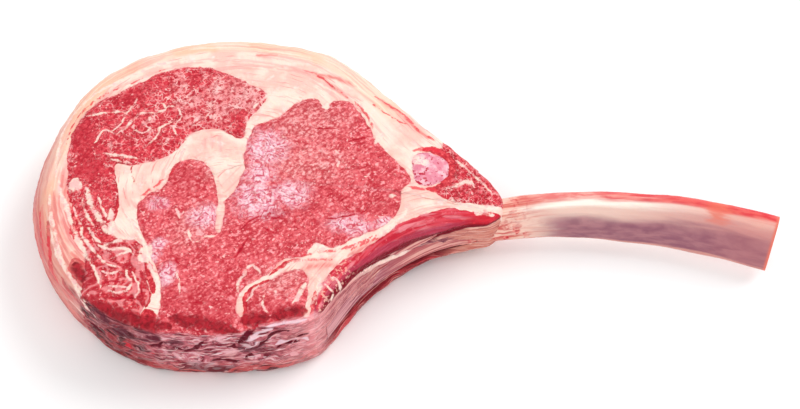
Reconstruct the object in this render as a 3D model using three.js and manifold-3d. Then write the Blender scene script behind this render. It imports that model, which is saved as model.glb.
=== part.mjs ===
// A raw tomahawk chop, lying on its cut face: a thick slice across the rib end of a loin, with the long,
// scraped rib left on as a handle. The eye of the loin, the cap muscle round it and the small muscles along
// the rib are bedded in fat, which covers the back as a thick cap and runs between the muscles as seams.
// Every muscle runs through the whole thickness of the slice.
//
// Millimetres. The origin is on the resting face, under the eye muscle. +X runs along the rib to its sawn
// end, +Y to the fat cap on the back of the chop, +Z up.
import * as THREE from "three";
import { mergeVertices } from "three/addons/utils/BufferGeometryUtils.js";
import Module from "manifold-3d";

// Driving dimensions.
const THICKNESS = 35; // of the slice, at the eye muscle
const TAIL = [42, 92]; // from where to where along X the slice thins towards the rib
const TAIL_DROP = 7.5; // how far its upper face has come down at the tail's tip
const TAIL_LIFT = 3; // how far its underside is clear of the board there
const HEEL = [55, 88]; // the same, along -X, at the end away from the rib
const HEEL_DROP = 2;
const CAP_SHOULDER = 13; // rounding of the upper edge along the fat cap
const RIB_SHOULDER = 4; // rounding of the upper edge along the rib side
const SHOULDER_CHANGES = [12, 45, 195, 240]; // degrees round MIDDLE: where one becomes the other
const FOOT = 5; // rounding of the lower edge
const GAP = 0.3; // between neighbouring pieces
const RIB_THICKNESS = 7.5;
const RIB_WIDTH = [17, 24]; // at the joint and at the sawn end
const RIB_LEAN = [4, 32]; // how far the rib's broad face leans back from upright, in degrees
const RIB_CHANGES = [0, 1]; // along the rib's length, where the width and the lean change
const RIB_SQUARENESS = 0.72; // 1 would be an ellipse in section, 0 a rectangle

// Resolution.
const SIDE_STEP = 5.5; // between the points of an outline
const MUSCLE_STEP = 4;
const FACE_RINGS = [0.78, 0.45];
const ARC_STEPS = 4;
const RIB_STATIONS = 32;
const RIB_AROUND = 18;
const REACH = 10; // how far the cutting prisms reach above and below the slice

// The slice's widest outline, seen from above, anticlockwise from the tail's tip.
const MIDDLE = [-15, 0];
const OUTLINE = [
  [91.5, -7], [85, 5], [73, 16], [58.5, 28.5], [46, 43.5], [32.5, 58], [17, 67.5], [-5, 72.5], [-25, 73.5],
  [-47, 69.5], [-66, 60.5], [-80, 48.5], [-90.5, 29], [-97, 6], [-96.7, -14], [-89.5, -33.5], [-77, -49.5],
  [-62, -62], [-46, -68.7], [-22, -71], [-2, -69.5], [13, -66], [20.5, -62], [28, -51], [35.5, -41],
  [46, -30.5], [61, -21], [76, -16.8], [87, -14.8],
];

// The muscles' outlines, and the gristle's. Where one reaches the slice's side, its outline runs on past it.
const EYE = [
  [-28, 6.5], [-34, 8.5], [-41, 4.5], [-43, -3.5], [-51, -9.5], [-54, -16], [-50, -28], [-43.5, -42],
  [-41, -53], [-42, -66], [-42, -88], [-9, -88], [-9.5, -67], [-12.5, -59], [-10, -51], [-1, -44.5],
  [5, -38.5], [13, -36.5], [17, -30.5], [23, -33], [32, -28], [43, -23.5], [49.5, -16.5], [50, -8],
  [54, 0.5], [43, 14], [36, 27], [30, 36.5], [23, 37], [20, 33], [16, 38], [9, 37], [1, 29.5], [-8.5, 24.5],
  [-11.5, 15], [-12.5, 4], [-15, -6], [-19, -12], [-19.5, -24.5], [-22, -24.5], [-22, -11], [-24, -1],
];
const CAP = [
  [-83.5, 12], [-82.5, -2], [-78, -14], [-72.5, -25], [-66, -26.5], [-62.5, -17], [-62, -4], [-64, 5.5],
  [-54, 6], [-40, 12.5], [-34, 21.5], [-24, 23], [-14, 18.5], [-11.5, 27], [-4.5, 39], [-9, 44.5],
  [-17, 48.5], [-27, 53.5], [-44, 53], [-58, 45.5], [-73, 37.5], [-82, 26],
];
const ROLLED = [
  [-70, -30.5], [-72, -38], [-73, -52], [-84, -66], [-66, -84], [-51, -84], [-48.5, -64], [-45.5, -54],
  [-48.5, -41], [-51, -31], [-58, -29.5],
];
const RIB_SIDE = [
  [-7.5, -60], [-7.5, -53], [-1.5, -48.5], [6, -44], [12.5, -43], [15, -50], [14, -60], [12, -86], [-6, -88],
];
const INTERCOSTAL = [
  [18, -66], [18.5, -53], [22, -44], [30, -36.5], [39, -30.5], [50, -22], [60, -16], [70, -12.5], [80, -12],
  [89, -12], [102, -12], [98, -30], [70, -36], [54, -48], [44, -64], [26, -82],
];
const TAIL_MUSCLE = [
  [72.5, 7], [70, -0.5], [65, -5], [70, -8.5], [80, -9], [88, -9.2], [102, -8], [98, 6], [82, 24], [70, 22],
  [67.5, 16.5], [71, 12.5],
];
const GRISTLE = [[55, 10], [62, 13], [68, 10], [69, 3], [62, -2], [55.5, 0]];

// The rib's middle line, from its end in the meat to the sawn end.
const RIB_LINE = [
  [18.5, -58.5, 17.5], [25.1, -48.7, 17.5], [32.5, -38.7, 17.5], [44, -27.8, 17.5], [59.5, -17.6, 17.3],
  [75, -12.1, 16.8], [91, -8.6, 16.2], [108, -6.2, 15.6], [127, -5.6, 15.2], [146, -7, 15],
  [165, -10, 15], [182, -14, 15], [199.5, -19.3, 15],
];

const COLOURS = { lean: 0xc4424c, marbled: 0xcf5560, fat: 0xf6d8c8, gristle: 0xe9a9b4, bone: 0xd9b3a4 };

const wasm = await Module();
wasm.setup();

const mix = THREE.MathUtils.lerp;
const between = (value, [from, to]) => THREE.MathUtils.smoothstep(value, from, to);

function topHeight(x) {
  return THICKNESS - TAIL_DROP * between(x, TAIL) - HEEL_DROP * between(-x, HEEL);
}

function bottomHeight(x) {
  return TAIL_LIFT * between(x, TAIL);
}

// Points at even steps along the smooth closed curve through the given ones, moved outwards by `grow`.
function smoothOutline(points, step, grow) {
  const corners = points.map(([x, y]) => new THREE.Vector3(x, y, 0));
  const curve = new THREE.CatmullRomCurve3(corners, true, "catmullrom", 0.5);
  const count = Math.round(curve.getLength() / step);
  const ring = curve.getSpacedPoints(count).slice(0, count);
  if (THREE.ShapeUtils.isClockWise(ring)) ring.reverse();
  return ring.map((point, i) => {
    const along = ring[(i + 1) % count].clone().sub(ring.at(i - 1)).normalize();
    const outwards = new THREE.Vector2(along.y, -along.x);
    return { point: new THREE.Vector2(point.x, point.y).addScaledVector(outwards, grow), outwards };
  });
}

// A closed solid skinned over rings of points, with a middle point closing each end.
function loft(first, rings, last) {
  const points = [first, ...rings.flat(), last];
  const around = rings[0].length;
  const corners = [];
  const at = (ring, i) => 1 + ring * around + (i % around);
  for (let i = 0; i < around; i++) {
    corners.push(0, at(0, i), at(0, i + 1));
    for (let ring = 0; ring + 1 < rings.length; ring++) {
      corners.push(at(ring, i), at(ring + 1, i), at(ring + 1, i + 1));
      corners.push(at(ring, i), at(ring + 1, i + 1), at(ring, i + 1));
    }
    corners.push(at(rings.length - 1, i), points.length - 1, at(rings.length - 1, i + 1));
  }
  const geometry = new THREE.BufferGeometry().setFromPoints(points);
  geometry.setIndex(corners);
  return toSolid(geometry);
}

function toSolid(geometry) {
  const bare = new THREE.BufferGeometry();
  bare.setAttribute("position", geometry.getAttribute("position"));
  bare.setIndex(geometry.getIndex());
  const welded = mergeVertices(bare, 1e-4);
  const vertProperties = new Float32Array(welded.getAttribute("position").array);
  const triVerts = new Uint32Array(welded.getIndex().array);
  return new wasm.Manifold(new wasm.Mesh({ numProp: 3, vertProperties, triVerts }));
}

// The whole slice: flat faces with a rounded side between them, as one solid.
function makeSlice() {
  const sides = smoothOutline(OUTLINE, SIDE_STEP, 0).map((side) => {
    const turn = Math.atan2(side.point.y - MIDDLE[1], side.point.x - MIDDLE[0]);
    const degrees = (THREE.MathUtils.radToDeg(turn) + 360) % 360;
    const [start, full, fading, end] = SHOULDER_CHANGES;
    const fatty = between(degrees, [start, full]) * (1 - between(degrees, [fading, end]));
    return { ...side, shoulder: mix(RIB_SHOULDER, CAP_SHOULDER, fatty) };
  });
  const ring = (place) => sides.map((side) => place(side));
  const inset = ({ point, outwards }, distance) => point.clone().addScaledVector(outwards, -distance);
  const face = (radius, share, height) => ring((side) => {
    const edge = inset(side, radius(side));
    const x = mix(MIDDLE[0], edge.x, share);
    return new THREE.Vector3(x, mix(MIDDLE[1], edge.y, share), height(x));
  });
  const arc = (radius, step, height, way) => ring((side) => {
    const angle = (step / ARC_STEPS) * (Math.PI / 2);
    const edge = inset(side, radius(side) * (1 - Math.sin(angle)));
    return new THREE.Vector3(edge.x, edge.y, height(edge.x) + way * radius(side) * (1 - Math.cos(angle)));
  });
  const shoulder = (side) => side.shoulder;
  const foot = () => FOOT;
  const steps = Array.from({ length: ARC_STEPS + 1 }, (_, i) => i);
  const rings = [
    ...FACE_RINGS.map((share) => face(shoulder, share, topHeight)).reverse(),
    ...steps.map((step) => arc(shoulder, step, topHeight, -1)),
    ...steps.map((step) => arc(foot, step, bottomHeight, 1)).reverse(),
    ...FACE_RINGS.map((share) => face(foot, share, bottomHeight)),
  ];
  const middle = (height) => new THREE.Vector3(...MIDDLE, height(MIDDLE[0]));
  return loft(middle(topHeight), rings, middle(bottomHeight));
}

// The rib: a rounded plate on edge, which widens and leans back towards its sawn end.
function makeRib(grow) {
  const line = new THREE.CatmullRomCurve3(RIB_LINE.map((point) => new THREE.Vector3(...point)));
  const up = new THREE.Vector3(0, 0, 1);
  const rings = [];
  for (let station = 0; station <= RIB_STATIONS; station++) {
    const share = station / RIB_STATIONS;
    const along = line.getTangentAt(share);
    const change = between(share, RIB_CHANGES);
    const sideways = up.clone().cross(along).normalize();
    const lean = THREE.MathUtils.degToRad(mix(...RIB_LEAN, change));
    const broad = up.clone().multiplyScalar(Math.cos(lean)).addScaledVector(sideways, Math.sin(lean));
    const thin = along.clone().cross(broad);
    const halfWidth = mix(...RIB_WIDTH, change) / 2 + grow;
    const halfThickness = RIB_THICKNESS / 2 + grow;
    const ends = station === 0 ? -grow : 0;
    rings.push(Array.from({ length: RIB_AROUND }, (_, i) => {
      const angle = (i / RIB_AROUND) * 2 * Math.PI;
      const squared = (value) => Math.sign(value) * Math.abs(value) ** RIB_SQUARENESS;
      return line.getPointAt(share)
        .addScaledVector(along, ends)
        .addScaledVector(broad, halfWidth * squared(Math.sin(angle)))
        .addScaledVector(thin, halfThickness * squared(Math.cos(angle)));
    }));
  }
  const centre = (ring) => ring.reduce((sum, point) => sum.add(point), new THREE.Vector3())
    .divideScalar(RIB_AROUND);
  return loft(centre(rings[0]), rings, centre(rings.at(-1)));
}

// An upright prism over a muscle's outline, grown outwards by `grow`.
function makePrism(points, grow) {
  const outline = smoothOutline(points, MUSCLE_STEP, grow);
  const shape = new THREE.Shape(outline.map((side) => side.point));
  const depth = THICKNESS + 2 * REACH;
  const prism = new THREE.ExtrudeGeometry(shape, { depth, bevelEnabled: false, steps: 1 });
  return toSolid(prism.translate(0, 0, -REACH));
}

function makeBlock(from, to) {
  const width = 2 * Math.max(...RIB_LINE.flat());
  const block = new THREE.BoxGeometry(width, width, to - from);
  return toSolid(block.translate(0, 0, (from + to) / 2));
}

function toMesh(name, solid, colour, roughness) {
  const { vertProperties, triVerts } = solid.getMesh();
  const indexed = new THREE.BufferGeometry();
  indexed.setAttribute("position", new THREE.BufferAttribute(vertProperties, 3));
  indexed.setIndex(new THREE.BufferAttribute(triVerts, 1));
  const geometry = indexed.toNonIndexed();
  geometry.computeVertexNormals();
  const mesh = new THREE.Mesh(geometry, new THREE.MeshStandardMaterial({ color: colour, roughness }));
  mesh.name = name;
  return mesh;
}

const meat = makeSlice().subtract(makeRib(GAP));
const muscle = (outline) => meat.intersect(makePrism(outline, -GAP / 2));
const ribLevel = RIB_LINE[0][2];
const underRib = makeBlock(-REACH, ribLevel - GAP / 2);
const overRib = makeBlock(ribLevel + GAP / 2, THICKNESS + REACH);
const outlines = [EYE, CAP, ROLLED, RIB_SIDE, INTERCOSTAL, TAIL_MUSCLE, GRISTLE];
const fat = outlines.reduce((rest, outline) => rest.subtract(makePrism(outline, GAP / 2)), meat);

const chop = new THREE.Group();
chop.name = "tomahawk_chop";
chop.add(
  toMesh("rib_bone", makeRib(0), COLOURS.bone, 0.45),
  toMesh("fat", fat, COLOURS.fat, 0.4),
  toMesh("eye_muscle", muscle(EYE), COLOURS.lean, 0.4),
  toMesh("cap_muscle", muscle(CAP), COLOURS.marbled, 0.4),
  toMesh("rolled_muscle", muscle(ROLLED), COLOURS.marbled, 0.4),
  toMesh("rib_side_muscle", muscle(RIB_SIDE), COLOURS.lean, 0.4),
  toMesh("intercostal_muscle_upper", muscle(INTERCOSTAL).intersect(overRib), COLOURS.lean, 0.4),
  toMesh("intercostal_muscle_lower", muscle(INTERCOSTAL).intersect(underRib), COLOURS.lean, 0.4),
  toMesh("tail_muscle", muscle(TAIL_MUSCLE), COLOURS.lean, 0.4),
  toMesh("gristle", muscle(GRISTLE), COLOURS.gristle, 0.35),
);

export default chop;
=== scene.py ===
"""Looks of a raw tomahawk chop: the slice is one finely modelled surface, cut into its muscles and its fat by
the same outlines as the CAD solids, and the rib is skinned along its own line. Every mark on the meat is
either relief in that surface or a value stored at its points, which the node materials turn into colour."""
import itertools
import math

import bpy
import numpy as np
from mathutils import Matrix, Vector
from mathutils.kdtree import KDTree


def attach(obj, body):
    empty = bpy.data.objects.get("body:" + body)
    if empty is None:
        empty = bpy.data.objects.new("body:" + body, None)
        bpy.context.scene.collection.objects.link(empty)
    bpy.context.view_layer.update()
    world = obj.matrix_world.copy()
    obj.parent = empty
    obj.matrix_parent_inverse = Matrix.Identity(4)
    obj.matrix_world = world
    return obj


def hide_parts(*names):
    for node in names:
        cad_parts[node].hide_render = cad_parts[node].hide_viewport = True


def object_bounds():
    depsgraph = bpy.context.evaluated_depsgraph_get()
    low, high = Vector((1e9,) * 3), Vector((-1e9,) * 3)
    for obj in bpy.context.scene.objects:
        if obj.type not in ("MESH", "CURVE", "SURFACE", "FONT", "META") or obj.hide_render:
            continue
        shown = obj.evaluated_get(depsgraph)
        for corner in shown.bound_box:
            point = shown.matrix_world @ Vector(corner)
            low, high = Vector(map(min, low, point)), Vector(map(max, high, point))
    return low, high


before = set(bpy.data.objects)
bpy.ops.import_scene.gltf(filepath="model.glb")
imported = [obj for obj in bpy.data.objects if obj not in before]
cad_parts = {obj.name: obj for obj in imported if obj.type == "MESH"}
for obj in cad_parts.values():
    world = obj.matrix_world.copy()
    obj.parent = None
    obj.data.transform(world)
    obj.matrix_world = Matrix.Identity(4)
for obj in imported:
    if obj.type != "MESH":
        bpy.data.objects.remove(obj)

cad_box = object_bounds()
LOWEST, HIGHEST = (np.array(corner) for corner in cad_box)

# ---------------------------------------------------------------- driving dimensions
# The shapes below are in millimetres of the chop as modelled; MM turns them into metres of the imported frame.
LENGTH = 299.4
MM = (HIGHEST[0] - LOWEST[0]) / LENGTH
THICKNESS = (HIGHEST[2] - LOWEST[2]) / MM

# Where along x the slice thins towards its tail, and along -x towards its heel, and by how much.
TAIL = (42, 92)
TAIL_DROP = 7.5
TAIL_LIFT = 3
HEEL = (55, 88)
HEEL_DROP = 2
# Radii of the slice's rounded upper edge: at the fat cap, over the rib, and everywhere else; and of its foot.
CAP_SHOULDER = 13
RIB_SHOULDER = 8
PLAIN_SHOULDER = 4
FOOT = 5
# Degrees about the middle at which the fat cap's wide edge starts, is full, begins to fade, and ends.
SHOULDER_CHANGES = (12, 45, 195, 240)
# The stretch of the side that the rib runs along: where along x it begins, the y that it stays below, and
# where along x its rounded upper edge gets small again.
RIB_STRETCH = (19, 27)
RIB_STRETCH_Y = 8
RIB_SHOULDER_END = (74, 88)
# The rib: its level in the meat, and its section, which broadens and leans over from the joint to the end.
RIB_LEVEL = 17.5
RIB_THICKNESS = 7.5
RIB_WIDTH = (17, 24)
RIB_LEAN = (4, 32)
RIB_SQUARENESS = 0.72
RIB_CLEARANCE = 0.15
# The length over which patterns are laid along the rib, and the share of the rib at which the meat ends.
RIB_PATTERN = 183
MEAT_END = 0.41
# Sizes of the rings that close the rib's ends; those below MARROW are in the marrow.
END_RINGS = (0.94, 0.8, 0.66, 0.5, 0.3, 0.1)
MARROW = 0.75

# Fineness of the surfaces.
RINGS = 132
GRID = 2 * RINGS + 1
AROUND = 8 * RINGS
SIDE_ROWS = 62
RIB_STATIONS = 420
RIB_AROUND = 110
HOLLOW_STATIONS = 120
HOLLOW_AROUND = 36
LINE_STEP = 0.25
CUT_STEP = 0.55
SHARP_ANGLE = 50

# Heights well below and above the slice, for the tools that cut it.
BELOW, ABOVE = -10, 60

MIDDLE = np.array([-15.0, 0.0])
OUTLINE = [
    (91.5, -7), (85, 5), (73, 16), (58.5, 28.5), (46, 43.5), (32.5, 58), (17, 67.5), (-5, 72.5), (-25, 73.5),
    (-47, 69.5), (-66, 60.5), (-80, 48.5), (-90.5, 29), (-97, 6), (-96.7, -14), (-89.5, -33.5), (-77, -49.5),
    (-62, -62), (-46, -68.7), (-22, -71), (-2, -69.5), (13, -66), (20.5, -62), (28, -51), (35.5, -41),
    (46, -30.5), (61, -21), (76, -16.8), (87, -14.8),
]
MUSCLES = {
    "eye_muscle": [
        (-28, 6.5), (-34, 8.5), (-41, 4.5), (-43, -3.5), (-51, -9.5), (-54, -16), (-50, -28), (-43.5, -42),
        (-41, -53), (-42, -66), (-42, -88), (-9, -88), (-9.5, -67), (-12.5, -59), (-10, -51), (-1, -44.5),
        (5, -38.5), (13, -36.5), (17, -30.5), (23, -33), (32, -28), (43, -23.5), (49.5, -16.5), (50, -8),
        (54, 0.5), (43, 14), (36, 27), (30, 36.5), (23, 37), (20, 33), (16, 38), (9, 37), (1, 29.5),
        (-8.5, 24.5), (-11.5, 15), (-12.5, 4), (-15, -6), (-19, -12), (-19.5, -24.5), (-22, -24.5),
        (-22, -11), (-24, -1),
    ],
    "cap_muscle": [
        (-83.5, 12), (-82.5, -2), (-78, -14), (-72.5, -25), (-66, -26.5), (-62.5, -17), (-62, -4),
        (-64, 5.5), (-54, 6), (-40, 12.5), (-34, 21.5), (-24, 23), (-14, 18.5), (-11.5, 27), (-4.5, 39),
        (-9, 44.5), (-17, 48.5), (-27, 53.5), (-44, 53), (-58, 45.5), (-73, 37.5), (-82, 26),
    ],
    "rolled_muscle": [
        (-70, -30.5), (-72, -38), (-73, -52), (-84, -66), (-66, -84), (-51, -84), (-48.5, -64),
        (-45.5, -54), (-48.5, -41), (-51, -31), (-58, -29.5),
    ],
    "rib_side_muscle": [
        (-7.5, -60), (-7.5, -53), (-1.5, -48.5), (6, -44), (12.5, -43), (15, -50), (14, -60), (12, -86),
        (-6, -88),
    ],
    "intercostal_muscle_upper": [
        (18, -66), (18.5, -53), (22, -44), (30, -36.5), (39, -30.5), (50, -22), (60, -16), (70, -12.5),
        (80, -12), (89, -12), (102, -12), (98, -30), (70, -36), (54, -48), (44, -64), (26, -82),
    ],
    "tail_muscle": [
        (72.5, 7), (70, -0.5), (65, -5), (70, -8.5), (80, -9), (88, -9.2), (102, -8), (98, 6), (82, 24),
        (70, 22), (67.5, 16.5), (71, 12.5),
    ],
    "gristle": [(55, 10), (62, 13), (68, 10), (69, 3), (62, -2), (55.5, 0)],
}
RIB_LINE = [
    (18.5, -58.5, 17.5), (25.1, -48.7, 17.5), (32.5, -38.7, 17.5), (44, -27.8, 17.5), (59.5, -17.6, 17.3),
    (75, -12.1, 16.8), (91, -8.6, 16.2), (108, -6.2, 15.6), (127, -5.6, 15.2), (146, -7, 15),
    (165, -10, 15), (182, -14, 15), (199.5, -19.3, 15),
]
# How high the membrane over the rib reaches along the slice's near side: (x, z).
MEMBRANE = [
    (20, 33.5), (32, 30.2), (38.5, 26.8), (46, 23.2), (54, 20.3), (61, 19.6), (67, 20.6), (72, 22.2),
    (92, 23.4),
]

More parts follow.
